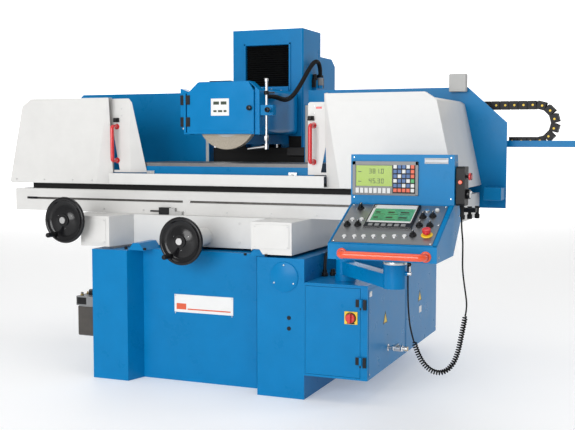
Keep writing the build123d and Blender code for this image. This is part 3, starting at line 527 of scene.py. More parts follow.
# ------ handwheels
for place, body, cad in (
    (
        "table_wheel_turn", "table_wheel", "table_handwheel",
    ), ("cross_wheel_turn", "cross_wheel", "cross_handwheel"),
):
    x, y, z = joint_place(place)
    x0, x1, y0, y1, z0, z1 = span(cad)
    outer = (x1 - x0) / 2
    rim = outer - 10
    middle = (y0 + y1) / 2 - 5
    profile = [(0, 22), (30, 22), (31, 10), (48, 6), (rim - 26, 12), (rim - 12, 9)]
    for i in range(13):
        turn = radians(150 - i * 25)
        profile.append((rim + 9.6 * cos(turn), 9.6 * sin(turn)))
    profile += [(rim - 13, 1), (rim - 28, 4), (46, -1), (31, -7), (30, -16), (0, -16)]
    wheel = Piece(f"{cad}_dish", gloss_black, body, 0)
    wheel.turned(profile, (x, middle, z), BACK, 72)
    gx, _, gz = joint_place("table_grip_spin" if body == "table_wheel" else "cross_grip_spin")
    wheel.turned([(11, -9), (12.5, 2), (11, 6), (0, 6)], (gx, middle, gz), BACK, 24)
    wheel = wheel.done(50)
    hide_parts(cad)
    hub = Piece(f"{cad}_hub", chrome, body, 0)
    hub.turned(
        [(0, -20), (7, -20), (8.5, -18.6), (8.5, -17), (12, -17), (13, -16.4), (13, -15.6), (0, -15.6)],
        (x, middle, z), BACK, 36,
    )
    for i in range(3):
        turn = radians(30 + 120 * i)
        hub.screw((x + 42 * cos(turn), middle + 0.5, z + 42 * sin(turn)), FRONT, 4)
    hub.done()

# ------ base details
x0, x1, y0, y1, z0, z1 = span("base_casting")
base_top = 657.0
Piece("base_covers", blue, "base", 1.2).turned(
    [(0, -6), (66, -6), (71, -3), (71, 0.5), (0, 0.5)], (474, y0, 569), BACK, 64,
).done()
plugs = Piece("base_plugs", black, "base", 0)
for z in (379, 329):
    plugs.turned([(0, -2.5), (8, -2.5), (10, -1), (10, 0.5)], (498, y0, z), BACK, 24)
plugs.done()
fixings = Piece("base_screws", steel, "base", 0)
for turn in (90, 210, 330):
    a = radians(turn)
    fixings.screw((474 + 56 * cos(a), y0 - 6, 569 + 56 * sin(a)), FRONT, 4)
for x, z in ((-156, 343), (156, 343), (-156, 431), (156, 431)):
    fixings.screw((x, 103.4, z), FRONT, 3)
fixings.done()
Piece("base_blank_plate", label, "base", 0.4).block(-162, 162, 104, 106.2, 348, 437).done()
Piece(
    "base_plate_stripe", key_red, "base", 0.2,
).block(-150, -96, 103.4, 104.2, 362, 392).block(-88, 148, 103.4, 104.2, 362, 368).done()
# a black strip painted as the shade deep in the slot beside the right pillar
Piece("base_shadow_gap", black, "base", 0.5).block(288, 335, 150, 154.6, 4, 655).done()
Piece("base_top_edge", blue, "base", 2.5).prism(
    [
        (x0 - 0.4, 2, base_top - 16), (x0 - 0.4, 2, base_top), (x0 + 0.6, 2, base_top),
        (x0 + 0.6, 2, base_top - 16),
    ],
    (0, 1490, 0),
).done()
wipers = Piece("way_wipers", rubber, "saddle", 1.5)
for x in (-330, 330):
    for left in (x - 60, x + 47):
        wipers.block(left, left + 13, 8 if x < 0 else -6, 20 if x < 0 else 2, 661, 672)
wipers.done()
wx0, wx1, wy0, wy1 = span("lube_unit")[:4]
Piece("lube_reservoir_shell", smoke, "base", 4).prism(
    [
        (wx0 + 5, wy0 + 5, 206), (wx1 - 13.5, wy0 + 5, 206), (wx1 - 13.5, wy1 - 5, 206),
        (wx0 + 5, wy1 - 5, 206),
    ],
    (0, 0, 150),
).done()
Piece("lube_pump_parts", black, "base", 1.5).turned(
    [(17, 409), (18, 412), (16.5, 434), (12, 437), (0, 437)], (-630, 80, 0), UP, 30,
).block(wx0 + 4, wx0 + 60, wy0 - 1, wy0 + 3, 366, 402).done()
Piece("lube_fittings", brass, "base", 0.5).turned(
    [(9, 408), (9, 416), (6, 418), (6, 425), (0, 425)], (-670, 50, 0), UP, 6,
).turned([(7, 408), (7, 414), (4, 415), (4, 422), (0, 422)], (-670, 100, 0), UP, 6).done()

# ------ saddle and bed details
x0, x1, y0, y1, z0, z1 = span("table_bed")
rail = Piece("bed_fixings", steel, "saddle", 0)
for x in (-900, -660, -420, -180, 60, 300, 540, 780, 1020):
    rail.screw((x, y0, z0 + 18), FRONT, 4.5)
rail.done()
Piece("bed_switch", black, "saddle", 1).block(-317, -259, y0 - 24, y0 + 0.2, 819, 858).block(
    -1152, -1085, y0 - 1, y0 + 0.2, 884, 896,
).turned([(4, -372), (4, -317), (0, -317)], (0, y0 - 12, 838), RIGHT, 16).done()
Piece("bed_switch_plate", pale_grey, "saddle", 1).prism(
    [
        (-259, y0 - 20, 822), (-186, y0 - 20, 822), (-186, y0 - 20, 838), (-226, y0 - 20, 838),
        (-226, y0 - 20, 856), (-259, y0 - 20, 856),
    ],
    (0, 20.2, 0),
).done()
# near-black strips painted as the shade inside the slot along the bed's front
shadow = Piece("bed_slot_shade", dark_iron, "saddle", 0)
for left, right in ((-1134, -190), (-147, 1134)):
    shadow.block(left, right, y0 + 12.8, y0 + 13.8, 883.6, 894.6)
shadow.done()
stops = Piece("table_dogs", steel, "table", 1.2)
for x in (-402, 398):
    stops.block(x - 22, x + 22, 292, 300, 1020, 1044)
    stops.screw((x, 292, 1032), FRONT, 6)
stops.done()
# a black strip painted as the shade in the gap between the splash tray and the bed
gap = Piece("bed_shadow_strip", rubber, "saddle", 0.3)
bed_top = 940.0
gap.block(-1118, 1118, 260.9, 262.2, bed_top + 2, bed_top + 33)
gap.done()
paint = Piece("table_side_paint", blue, "table", 0.3)
tx0, tx1, ty0, _, _, tz1 = span("table")
paint.block(tx0 + 1, tx1 - 1, ty0 - 0.8, ty0 + 0.2, tz1 - 98, tz1 - 17)
paint.done()
Piece("saddle_slot", black, "saddle", 1).prism(
    [(286, 181, 708), (301, 181, 708), (301, 181, 796), (286, 181, 796)], (0, 5, 0),
).done()
sz0, sz1 = span("saddle_casting")[4:]
Piece("saddle_covers", white, "saddle", 1.5).block(318, 499, -3, 0.5, sz0 + 28, sz1 - 12).block(
    -636, -500, 12, 15.5, sz0 + 14, sz1 - 12,
).done()
cover_screws = Piece("saddle_cover_screws", steel, "saddle", 0)
for x, z in ((326, sz0 + 36), (491, sz0 + 36), (326, sz1 - 20), (491, sz1 - 20)):
    cover_screws.screw((x, -3, z), FRONT, 3.6)
for x, z in ((-628, sz0 + 22), (-508, sz0 + 22), (-628, sz1 - 20), (-508, sz1 - 20)):
    cover_screws.screw((x, 12, z), FRONT, 3.6)
for x, z in ((-210, 700), (-210, 794), (160, 700), (160, 794)):
    cover_screws.screw((x, 185, z), FRONT, 5)
cover_screws.done()
collar = Piece("shaft_collars", steel, "saddle")
cx, _, cz = joint_place("cross_wheel_turn")
collar.turned([(17, 0), (40, 0), (44, 2), (44, 6.5), (17, 6.5)], (cx, -1, cz), BACK, 48)
tx, _, tz = joint_place("table_wheel_turn")
collar.turned([(17, 0), (34, 0), (38, 2), (38, 6.5), (17, 6.5)], (tx, 9, tz), BACK, 48)
collar.done()

# ------ splash enclosure
for side, body, door, guard in (
    (-1, "left_slide_door", "left_door", "left_guard"),
    (1, "right_slide_door", "right_door", "right_guard"),
):
    gx0, gx1, gy0, gy1, gz0, gz1 = span(guard)
    handle_x = -575.0 if side < 0 else 524.0
    bar = Piece(f"{door}_grab", red, body, 0)
    reach = 202.0
    low, high, corner = 1097, 1273, 25
    bar.bar(
        [(handle_x, y, z) for y, z in (
            (249.8, low), (226, low), (reach, low), (reach, low + corner), (reach, 1185),
            (reach, high - corner), (reach, high), (226, high), (249.8, high),
        )], 9.8, 20,
    )
    for z in (low, high):
        bar.turned([(0, -3), (14, -3), (15, 0), (15, 1)], (handle_x, 250, z), BACK, 28)
    bar.done()
    trims = Piece(f"{door}_screws", steel, body, 0)
    for z in (1330, 1366):
        trims.screw((side * 545 if side < 0 else 528, 250, z), FRONT, 4)
    trims.done()
    latch = Piece(f"{door}_latch", black, body, 1.2)
    lx = side * 575 if side < 0 else 512
    latch.block(lx - 16, lx + 16, 236, 250.2, 1296, 1318, draft=1.5)
    latch.turned([(10, 0), (11, -8), (8, -12), (0, -12)], (lx, 238, 1307), BACK, 24)
    latch.done()
    Piece(f"{guard}_folds", white, "saddle").prism(
        [(side * x, gy0 + y, gz1 + z) for x, y, z in (
            (1078, -0.6, -8), (660, -0.6, -8), (660, 0.4, -36), (1096, 0.4, -36),
        )], (0, -0.7, 0),
    ).done()
    rivets = Piece(f"{guard}_screws", steel, "saddle", 0)
    for x in (1180, 1000, 820, 700):
        rivets.screw((side * x, gy0, gz0 + 16), FRONT, 4)
    rivets.done()
Piece("door_notice", red, "right_slide_door", 0.2).block(536, 566, 249.2, 250.2, 1352, 1362).done()

# ------ rear guard details
rx0, rx1, _, _, _, rz1 = span("rear_curtain")
edges = Piece("rear_edge_strips", pale_grey, "saddle", 1, slot="bright_steel")
for side in (-1, 1):
    edges.block(side * 289, side * 304, 742, 748, 984, 1388)
    edges.block(side * 304, side * 307, 742, 796, 984, 1388)
edges.block(300, 352, 786, 799, 1285, 1380)
edges.done()
Piece(
    "rear_wiper_block", black, "saddle", 3, slot="grey_plastic",
).block(178, 282, 752, 786, 1118, 1164).done()
Piece("curtain_hem", rubber, "saddle", 1.2).block(rx0 + 2, rx1 - 2, 783.4, 786.4, rz1 - 26, rz1 - 2).done()
# black sheets painted as the shade on the column's front below the wheel head
under_head_shade = Piece("column_under_head_shade", rubber, "base", 0.5)
for side in (-1, 1):
    under_head_shade.block(side * 133, side * 205, 894.5, 900.4, 905, 1225)
under_head_shade.done()
Piece("coolant_feed", pale_grey, "saddle", 0).bar(
    [(398, 782, 1300), (398, 782, 1360), (397, 783, 1410), (396, 786, 1455)], 7, 18,
).turned([(10, 1296), (11, 1300), (11, 1318), (8, 1320), (8, 1326)], (398, 782, 0), UP, 20).done()
Piece("coolant_valve", black, "saddle", 1).block(352, 384, 770, 798, 1268, 1300).turned(
    [(0, -18), (9, -18), (10, -14), (10, 0)], (368, 772, 1284), BACK, 24,
).done()
Piece("coolant_valve_lever", red, "saddle", 1.5).block(362, 374, 748, 753, 1236, 1294).done()
Piece("guard_junction_box", pale_grey, "saddle", 4).block(1062, 1148, 756, 800, 1446, 1536).done()
Piece("guard_side_box", blue, "saddle", 3).block(1257, 1345, 690, 800, 905, 967).done()
valves = Piece("tray_valves", black, "saddle", 1.2)
for i, x in enumerate((1238, 1262, 1288)):
    valves.turned([(0, 0), (11, 0), (12, 3), (12, 20), (8, 23), (8, 44), (11, 47), (11, 58), (0, 58)],
                  (x, 300 + 45 * i, 838), UP, 20)
valves.block(1229, 1300, 290, 330, 872, 892)
valves.done()

# ------ energy chain
chain = Piece("chain_links", black, "saddle")
dots = Piece("chain_dots", yellow, "saddle", 0)
pitch, rise, end_x, low_z = 46.0, 183.0, 1474.0, 1197.5
spots = [(end_x - (i + 0.5) * pitch, low_z, 0.0) for i in range(3)][::-1]
count = round(pi * rise / 2 / pitch)
for i in range(count):
    a = radians((i + 0.5) / count * 180 - 90)
    spots.append(
        (end_x + rise / 2 * cos(a), low_z + rise / 2 + rise / 2 * sin(a), a + pi / 2),
    )
spots += [(end_x - (i + 0.5) * pitch, low_z + rise, pi) for i in range(10)]
for x, z, a in spots:
    place = Matrix.Translation((x, 955, z)) @ Matrix.Rotation(-a, 4, "Y")
    for y in (-30, 24):
        chain.block(-21, 21, y, y + 6, -21.5, 21.5, place)
    chain.block(-15, 15, -24, 24, 17, 21, place)
    chain.block(-15, 15, -24, 24, -21, -17, place)
    chain.block(10, 24, -27, -24, -15, 15, place)
    dots.turned([(0, -31.2), (5.5, -31.2), (6, -30), (6, -29)], (-4, 0, 0), BACK, 16, place)
chain = chain.done()
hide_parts("energy_chain")
dots.done()
Piece("chain_rail_trim", blue, "saddle").block(1004, 1698, 903.6, 905.4, 1169, 1199).done()

# ------ wheel head
gx0, gx1, gy0, gy1, gz0, gz1 = span("guard_door")
hinge = Piece("cover_hinges", black, "head", 1)
for z in (gz0 + 60, gz1 - 92):
    hinge.block(-258, -236, 357, 365.2, z - 22, z + 28)
    hinge.turned([(0, 0), (6.6, 0), (7, 1), (7, 49), (6.6, 50), (0, 50)], (-228, 357, z - 22), UP, 24)
hinge.done()
leaf = Piece("cover_hinge_leaves", black, "guard_cover", 1)
for z in (gz0 + 60, gz1 - 92):
    leaf.block(-221, -197, 345.6, 350.2, z - 21, z + 27)
leaf.done()
Piece("guard_return", blue_head, "head", 0.6).prism(
    [(164, 362.6, 1232), (189.6, 362.6, 1232), (189.6, 362.6, 1452), (164, 362.6, 1473)], (0, 3, 0),
).done()
Piece("cover_label", label, "guard_cover", 0.2).block(-76, 26, 349.2, 350.2, gz0 + 94, gz0 + 181).done()
lines = Piece("cover_label_blocks", ink, "guard_cover", 0)
for i, (a, b) in enumerate(((-62, -30), (-20, 12), (-62, -44), (-36, -12), (-4, 12))):
    z = gz0 + (150 if i < 2 else 112)
    lines.block(a, b, 348.8, 349.3, z, z + (16 if i < 2 else 10))
lines.done()
Piece("cover_lip", blue_head, "guard_cover", 1.5).block(
    gx0 + 24, 150, 346.6, 350.2, gz0 + 2, gz0 + 16,
).done()
Piece("guard_top_strip", black, "head").block(-96, 24, 372, 404, gz1 + 2.8, gz1 + 8).done()
knob_x, _, knob_z = joint_place("guard_knob_turn")
knob = Piece("cover_knob_cap", gloss_black, "cover_knob", 0)
profile = [(12.2, -0.5), (13.2, -2), (13.2, -16), (11, -19.5), (7, -20.4), (0, -20.4)]
knob.turned(profile, (knob_x, 350, knob_z), BACK, 24)
knob.block(knob_x - 2.5, knob_x + 2.5, 327.5, 331, knob_z - 9, knob_z + 9)
knob.done()
bolts = Piece("guard_bolts", steel, "head", 0)
for x, z in ((-244, 1262), (-244, 1430)):
    bolts.screw((x, 365, z), FRONT, 5)
bolts.done()
flange_bolts = Piece("flange_bolts", steel, "wheel_spindle", 0)
for i in range(6):
    a = radians(60 * i)
    flange_bolts.screw((72 * cos(a), 368, 1322.5 + 72 * sin(a)), FRONT, 5)
flange_bolts.done()
Piece("wheel_blotter", pale_grey, "wheel_spindle", 0).turned(
    [(90.5, -0.5), (104, -0.5), (104, 0.2), (90.5, 0.2)], (0, 372, 1322.5), BACK, 72,
).done()
clamp = Piece("coolant_clamp_knob", gloss_black, "head", 0)
px, py, _ = joint_place("coolant_pipe_turn")
_, kx1, ky0, _, kz0, kz1 = span("coolant_clamp")
lobes = [(0, -0.3), (8, -0.3), (13.4, 2), (14.2, 8), (13.4, 13), (9, 15.8), (5.5, 16), (5.5, 20)]
clamp.turned(lobes, (kx1 - 15, ky0, (kz0 + kz1) / 2), FRONT, 8)
clamp.done()
Piece("coolant_nozzle_nut", steel, "coolant", 0.6).turned(
    [(7.2, 40), (11.5, 40), (12.5, 43), (12.5, 62), (11.5, 65), (7.2, 65)], (px, py, 1160), UP, 6,
).turned([(7.2, 0), (9.5, 0), (9.5, 14), (7.2, 16)], (px, py, 1497), UP, 24).done()
Piece("coolant_tap", black, "coolant", 1).turned(
    [(7.1, 0), (12, 0), (13, 3), (13, 17), (12, 20), (7.1, 20)], (px, py, 1430), UP, 24,
).block(px + 8, px + 44, py - 4, py + 4, 1436, 1444).done()
Piece("head_top_cover", blue_head, "head", 3).block(-120, 120, 560, 850, 1468, 1474).done()
head_screws = Piece("head_screws", steel, "head", 0)
for x in (-108, 108):
    for y in (572, 705, 838):
        head_screws.screw((x, y, 1474), UP, 5)
head_screws.done()

# ------ column
bx0, bx1, by0, _, bz0, bz1 = span("column_bellows")
folds = 19
outline = []
for i in range(folds * 2 + 1):
    z = bz0 + 0.5 + (bz1 - bz0 - 1) * i / (folds * 2)
    outline.append((by0 + 1 if i % 2 else by0 + 15, z))
bellows = Piece("column_bellows_pleats", rubber, "base", 0)
front_row = [(bx0, y, z) for y, z in outline]
back_row = [(bx0, y + 9, z) for y, z in reversed(outline)]
bellows.prism(front_row + back_row, (bx1 - bx0, 0, 0))
bellows = bellows.done(20)
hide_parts("column_bellows")
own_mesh(bellows)
frame_strip = Piece("slideway_frame", blue, "base", 2)
for side in (-1, 1):
    frame_strip.block(side * 131, side * 142, 893.5, 900.5, 1480, 1742)
frame_strip.block(-142, 142, 893.5, 900.5, 1731, 1744)
frame_strip.done()
cap = Piece("column_cap", blue, "base", 2.5)
_, _, cy0, cy1, _, cz1 = span("column_casting")
cap.block(-213, 213, cy0 + 2, cy1 - 2, cz1 - 3, cz1 + 3)
cap.done()
vents = Piece("column_vents", black, "base", 0.4)
_, vx1, vy0, vy1, vz0, _ = span("column_rear_box")
for i in range(9):
    z = vz0 + 620 + i * 26
    vents.block(vx1 - 0.4, vx1 + 1.4, vy0 + 80, vy0 + 210, z, z + 8)
    vents.block(-90, 90, vy1 - 0.4, vy1 + 1.4, z, z + 8)
vents.done()
eyes = Piece("lifting_screws", steel, "base", 0)
for x in (-150, 150):
    eyes.turned([(16, 0), (16, 6), (9, 8), (9, 14), (0, 14)], (x, 1040, cz1), UP, 20)
eyes.done()
sockets = Piece("column_connectors", black, "base", 1.2)
for y in (1052, 1120, 1160):
    sockets.block(214, 236, y - 18, y + 16, 1500, 1544)
    sockets.turned([(14, 0), (15, 3), (15, 14), (11, 18), (11, 34)], (226, y, 1540), UP, 20)
sockets.done()
ring = Piece("conduit_glands", grey, "base", 0.6)
ex, ey, ez = 245, 1090, 1556
ring.turned([(13, -44), (17, -44), (18, -40), (18, -8), (16, -2), (13.5, 0)], (ex, ey, ez), UP, 28)
ring.done()

# conduit: the loop from the head to the column, ribbed like a corrugated hose
side = span("head_casting")[1]
top = 1470.0
conduit_route = [(side + a, y, top + c) for a, y, c in (
    (0.3, 470, -44), (22, 470, -44), (42, 492, -47), (47, 536, -54), (46, 600, -58), (43, 672, -48),
    (42, 746, -18), (45, 816, 28), (51, 880, 84), (58, 940, 138), (64, 996, 172), (66, 1044, 170),
    (63, 1078, 140), (60, 1090, 108),
)] + [(side + 60, 1090, 1556.3)]
hose_radius, groove, rib_step, ring_size = 0.0122, 0.87, 0.0016, 20
line = smooth_line(conduit_route)
fine = []
for a, b in zip(line, line[1:]):
    steps = max(1, round((b - a).length / rib_step))
    fine += [a.lerp(b, i / steps) for i in range(steps)]
fine.append(line[-1])
hose = Piece("conduit_hose", rubber, "base", 0)
along_tube(hose.mesh, fine, hose_radius, ring_size)
hose.mesh.verts.ensure_lookup_table()
for i in range(len(fine)):
    grow = 1.0 if i % 4 < 2 else groove
    for k in range(ring_size):
        v = hose.mesh.verts[i * ring_size + k]
        v.co = fine[i] + (v.co - fine[i]) * grow
hose = hose.done(180)
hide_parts("conduit")

# ------ cabinet, tank and arm
x0, x1, y0, y1, z0, z1 = span("cabinet")
y0 = 0.0
hinge = Piece("cabinet_hinge_covers", black, "base", 1.2)
for z in (z0 + 60, z1 - 107):
    hinge.block(x1 - 20, x1 - 5, -10, 0.5, z + 1, z + 49)
    hinge.turned([(0, 0), (5.2, 0), (5.6, 1.5), (5.6, 11), (0, 11)], (x1 - 30, -8, z + 0.6), UP, 20)
hinge.done()
hinge = Piece("cabinet_door_hinge_covers", black, "electric_door", 1.2)
for z in (z0 + 60, z1 - 107):
    hinge.block(x1 - 54, x1 - 37, -11.6, 0.2, z + 13, z + 48.5)
hinge.done()
sx, _, sz = joint_place("main_switch_turn")
Piece("switch_plate", yellow, "electric_door").block(
    sx - 30, sx + 32, -4.5, 0.2, sz - 29, sz + 29,
).done()
Piece("switch_rings", black, "electric_door").turned(
    [(22, 0), (26, 0), (26, -1.6), (22, -1.6)], (sx, -4.4, sz), BACK, 40,
).block(sx - 18, sx + 20, -5.3, -4.3, sz - 27, sz - 22).done()
Piece("switch_knob", red, "switch", 1.6).turned(
    [(21.4, -6.2), (21.4, -14), (19, -18.4), (0, -18.4)], (sx, 0, sz), BACK, 40,
).block(sx - 6.5, sx + 6.5, -32.5, -18, sz - 20.5, sz + 20.5).done()
for i, (y, z) in enumerate(((272, 359), (916, 369))):
    Piece(f"side_mark_{i}", yellow, "base", 0.2).prism(
        [(x1 + 1.4, y - 33, z - 24), (x1 + 1.4, y + 33, z - 24), (x1 + 1.4, y, z + 32)], (0.8, 0, 0),
    ).done()
    rim = Piece(f"side_mark_rim_{i}", ink, "base", 0)
    for a, b in (
        ((y - 33, z - 24), (y + 33, z - 24)), ((y + 33, z - 24), (y, z + 32)),
        ((y, z + 32), (y - 33, z - 24)),
    ):
        run = Vector((0, b[0] - a[0], b[1] - a[1])).normalized()
        across = Vector((0, -run.z, run.y)) * 4
        first, last = Vector((x1 + 1.9, *a)), Vector((x1 + 1.9, *b))
        rim.prism([first, last, last + across, first + across], (0.8, 0, 0))
    rim.done()
Piece("side_labels", label, "base", 0.2).block(x1 + 1.4, x1 + 2.3, 905, 953, 280, 314).block(
    x1 + 1.4, x1 + 2.3, 22, 58, 496, 520,
).done()
Piece("cabinet_roof_edge", blue, "base", 1.5).block(x0 + 2, x1 + 3, -2, 632, z1 - 2, z1 + 4).done()
tank_x0, tank_x1, tank_y0, tank_y1, tank_z0, tank_z1 = span("hydraulic_tank")
Piece("tank_lid", blue, "base", 1.5).block(
    tank_x0 + 1, tank_x1 + 3, tank_y0 + 1, tank_y1 - 1, tank_z1 - 3, tank_z1 + 4,
).done()
Piece("cabinet_side_panels", blue, "base", 1.2).block(x1 - 0.3, x1 + 1.6, 14, 612, z0 + 14, z1 - 16).block(
    x1 - 0.3, x1 + 1.6, tank_y0 + 14, tank_y1 - 14, tank_z0 + 14, tank_z1 - 16,
).done()
panel_screws = Piece("cabinet_screws", steel, "base", 0)
for y, z in ((26, z0 + 26), (600, z0 + 26), (26, z1 - 28), (600, z1 - 28), (tank_y0 + 26, tank_z0 + 26),
             (tank_y1 - 26, tank_z0 + 26), (tank_y0 + 26, tank_z1 - 28), (tank_y1 - 26, tank_z1 - 28)):
    panel_screws.screw((x1 + 1.6, y, z), RIGHT, 4)
panel_screws.done()
hoses = Piece("cabinet_hose_fittings", black, "base")
for x, y in ((592, 226), (620, 262)):
    hoses.turned([(14, 0), (15, 3), (15, 16), (11, 19), (11, 32), (0, 32)], (x, y, z1 + 4), UP, 24)
hoses.bar([(592, 226, z1 + 30), (592, 228, z1 + 70), (588, 250, z1 + 104), (580, 290, z1 + 108)], 8, 16)
hoses.done()
ox0, ox1, oy0, oy1, oz0, oz1 = span("drain_cock")
cock = Piece("drain_cock_cap", brass, "base", 0.5)
mid_y, mid_z = (oy0 + oy1) / 2, (oz0 + oz1) / 2
cock.turned([(9.2, -16), (12.6, -15), (12.6, -1), (11, 0.4), (0, 0.4)], (ox1, mid_y, mid_z), RIGHT, 6)
cock.done()
nuts = Piece("drain_cock_nuts", chrome, "base", 0.6)
for x in (ox0 + 22, ox0 + 64):
    nuts.turned(
        [(9.2, 0), (14.5, 0), (15.5, 1.5), (15.5, 9), (14.5, 10.5), (9.2, 10.5)], (x, mid_y, mid_z), RIGHT,
        6,
    )
nuts.turned([(0, 0), (17, 0), (17, 2.4), (9.2, 2.4)], (ox0, mid_y, mid_z), RIGHT, 28)
nuts.done()
ax, ay, _ = joint_place("arm_swing")
pvx, pvy, _ = joint_place("panel_swivel")
Piece("arm_pivot_cap", blue, "arm").turned(
    [(21, 0), (43, 0), (44, -1), (44, 3), (41, 6), (21, 6)], (ax, ay, 644), UP, 48,
).done()
Piece("post_clamp_ring", steel, "arm").turned(
    [(26, -14), (49.4, -14), (50.4, -12), (50.4, 0), (49, 2), (26, 2)], (pvx, pvy, 699), UP, 56,
).screw((pvx - 30, pvy - 41, 692), (-0.4, -0.9, 0), 5).done()
ball = Piece("clamp_lever_ball", gloss_black, "post_clamp", 0)
lever_top = span("clamp_lever")[5]
ball.turned(
    [(0, -8), (5, -6.6), (7.6, -2), (7.6, 2), (5, 6.6), (0, 8)], (pvx + 48 + 19.5, pvy - 13, lever_top - 4),
    (0.1, -0.3, 0.95), 20,
)
ball.done()

# ------ control panel
hx0, hx1, hy0 = span("panel_housing")[:3]
run, climb = 295.0, 146.0
slope = hypot(run, climb)
along = Vector((0, run / slope, climb / slope))
out = Vector((0, -climb / slope, run / slope))
origin = Vector(((hx0 + hx1) / 2, hy0, 784))
console = Matrix((
    (1, 0, 0, origin.x), (0, along.y, out.y, origin.y), (0, along.z, out.z, origin.z), (0, 0, 0, 1),
))
top = 3.0


def console_x(x):
    """Machine X to the console's own X."""
    return x - origin.x


Piece("console_trim", blue, "panel", 1.5).block(-224, 224, 2, 8, 0, 3.4, console).block(
    -224, 224, 320, 326, 0, 3.4, console,
).block(-224, -218, 2, 326, 0, 3.4, console).block(208, 224, 2, 326, 0, 3.4, console).done()
screws = Piece("console_screws", chrome, "panel", 0)
for u in (-206, 196):
    for s in (18, 164, 310):
        screws.screw((u, s, top), UP, 3.4, console)
screws.done()
hmi = Piece("screen_bezel", gloss_black, "panel", 1.5)
a0, a1 = console_x(960), console_x(1163)
hmi.prism([(a0, 120, 3), (a1, 120, 3), (a1, 305, 3), (a0, 305, 3)], (0, 0, 10), console)
hmi.done()
white_frame = Piece("screen_frame", key_white, "panel", 1)
b0, b1 = console_x(966), console_x(1154)
for u0, u1, s0, s1 in (
    (b0, b1, 155, 167), (b0, b1, 267, 296), (b0, b0 + 10, 155, 296), (b1 - 4, b1, 155, 296),
):
    white_frame.block(u0, u1, s0, s1, 12.6, 14.2, console)
white_frame.done()
Piece("screen_glass", screen, "panel", 0.2).block(b0 + 10, b1 - 4, 167, 267, 12.6, 13.4, console).done()
cells = Piece("screen_cells", ink, "panel", 0)
for i in range(3):
    for j in range(2):
        u = b0 + 18 + i * 54
        s = 178 + j * 42
        cells.block(u, u + 44, s, s + 3, 13.3, 13.8, console)
        cells.block(u, u + 20 + 8 * i, s + 12, s + 22, 13.3, 13.8, console)
cells.done()
fkeys = Piece("screen_keys", grey, "panel", 0.6)
for i in range(6):
    fkeys.block(b0 + 12 + i * 28, b0 + 32 + i * 28, 128, 145, 12.8, 15.6, console, 1.2)
fkeys.done()
selectors = Piece("console_selectors", black, "panel", 1)
pointers = Piece("selector_pointers", label, "panel", 0.2)
for x, s in ((885, 142), (930, 145), (1228, 232), (1190, 154), (1233, 156), (1181, 79)):
    u = console_x(x)
    selectors.turned(
        [(15.5, top), (15.5, top + 3), (13, top + 5), (12, top + 10), (0, top + 10)], (u, s, 0), UP, 28,
        console,
    )
    selectors.block(u - 4.2, u + 4.2, s - 13, s + 13, top + 9, top + 20, console, 0.8)
    pointers.block(u - 1, u + 1, s + 2, s + 12, top + 19.8, top + 20.6, console)
selectors.done()
pointers.done()
for name, body in (("mode_knob_turn", "mode_selector"), ("speed_knob_turn", "speed_selector")):
    kx, ky, kz = joint_place(name)
    offset = Vector((kx, ky, kz)) - origin
    u, s = offset.x, offset.dot(along)
    Piece(f"{body}_cap", black, body).turned(
        [(13.2, 3.6), (15.4, 3.6), (15.4, 6), (13, 8.5), (12, 11), (0, 11)], (u, s, 0), UP, 32, console,
    ).block(u - 5, u + 5, s - 15.4, s + 15.4, 8, 24.4, console, 0.6).done()
    Piece(f"{body}_pointer", label, body, 0).block(u - 1, u + 1, s + 2, s + 13, 24.2, 24.9, console).done()
    scale_ring = Piece(f"{body}_scale", label, "panel", 0.1)
    for i in range(9):
        a = radians(-120 + 30 * i) + pi / 2
        place = console @ Matrix.Translation((u, s, 0)) @ Matrix.Rotation(a, 4, "Z")
        scale_ring.block(17, 21, -0.7, 0.7, 3.0, 3.4, place)
    scale_ring.done()
buttons = Piece("console_buttons", chrome, "panel", 0.4)
lamps = Piece("console_lamps", key_white, "panel", 0.3)
for x, s in (
    (900, 51), (943, 54), (981, 57), (1022, 60), (1064, 63), (1108, 66), (1149, 69), (894, 187), (934, 190),
):
    u = console_x(x)
    buttons.turned([(12, 3), (12, 5), (10.5, 6.5), (9, 6.5), (9, 5)], (u, s, 0), UP, 28, console)
    lamps.turned([(8.6, 4), (8.6, 8), (7.4, 9.4), (0, 9.8)], (u, s, 0), UP, 24, console)
u = console_x(1237)
lamps.turned([(9, 3), (10, 6), (8, 12), (4, 14), (0, 14.4)], (u, 277, 0), UP, 24, console)
buttons.turned([(11, 3), (11, 6), (9, 8), (0, 8)], (console_x(1195), 275, 0), UP, 24, console)
buttons.done()
lamps.done()
estop = Piece("stop_collar", yellow, "panel", 0.6)
stop_x0, stop_x1 = span("e_stop")[:2]
eu, es = (stop_x0 + stop_x1) / 2 - origin.x, 85.0
estop.turned([(9.6, 3), (24, 3), (24, 4.6), (21, 7.5), (11, 8), (9.6, 8)], (eu, es, 0), UP, 40, console)
estop.done()
Piece("stop_mushroom", red, "stop_button", 0).turned(
    [(9, 14), (16.6, 15.6), (17.4, 18), (17.4, 24), (15.5, 28), (11, 30.3), (0, 30.6)], (eu, es, 0), UP, 40,
    console,
).done(60)

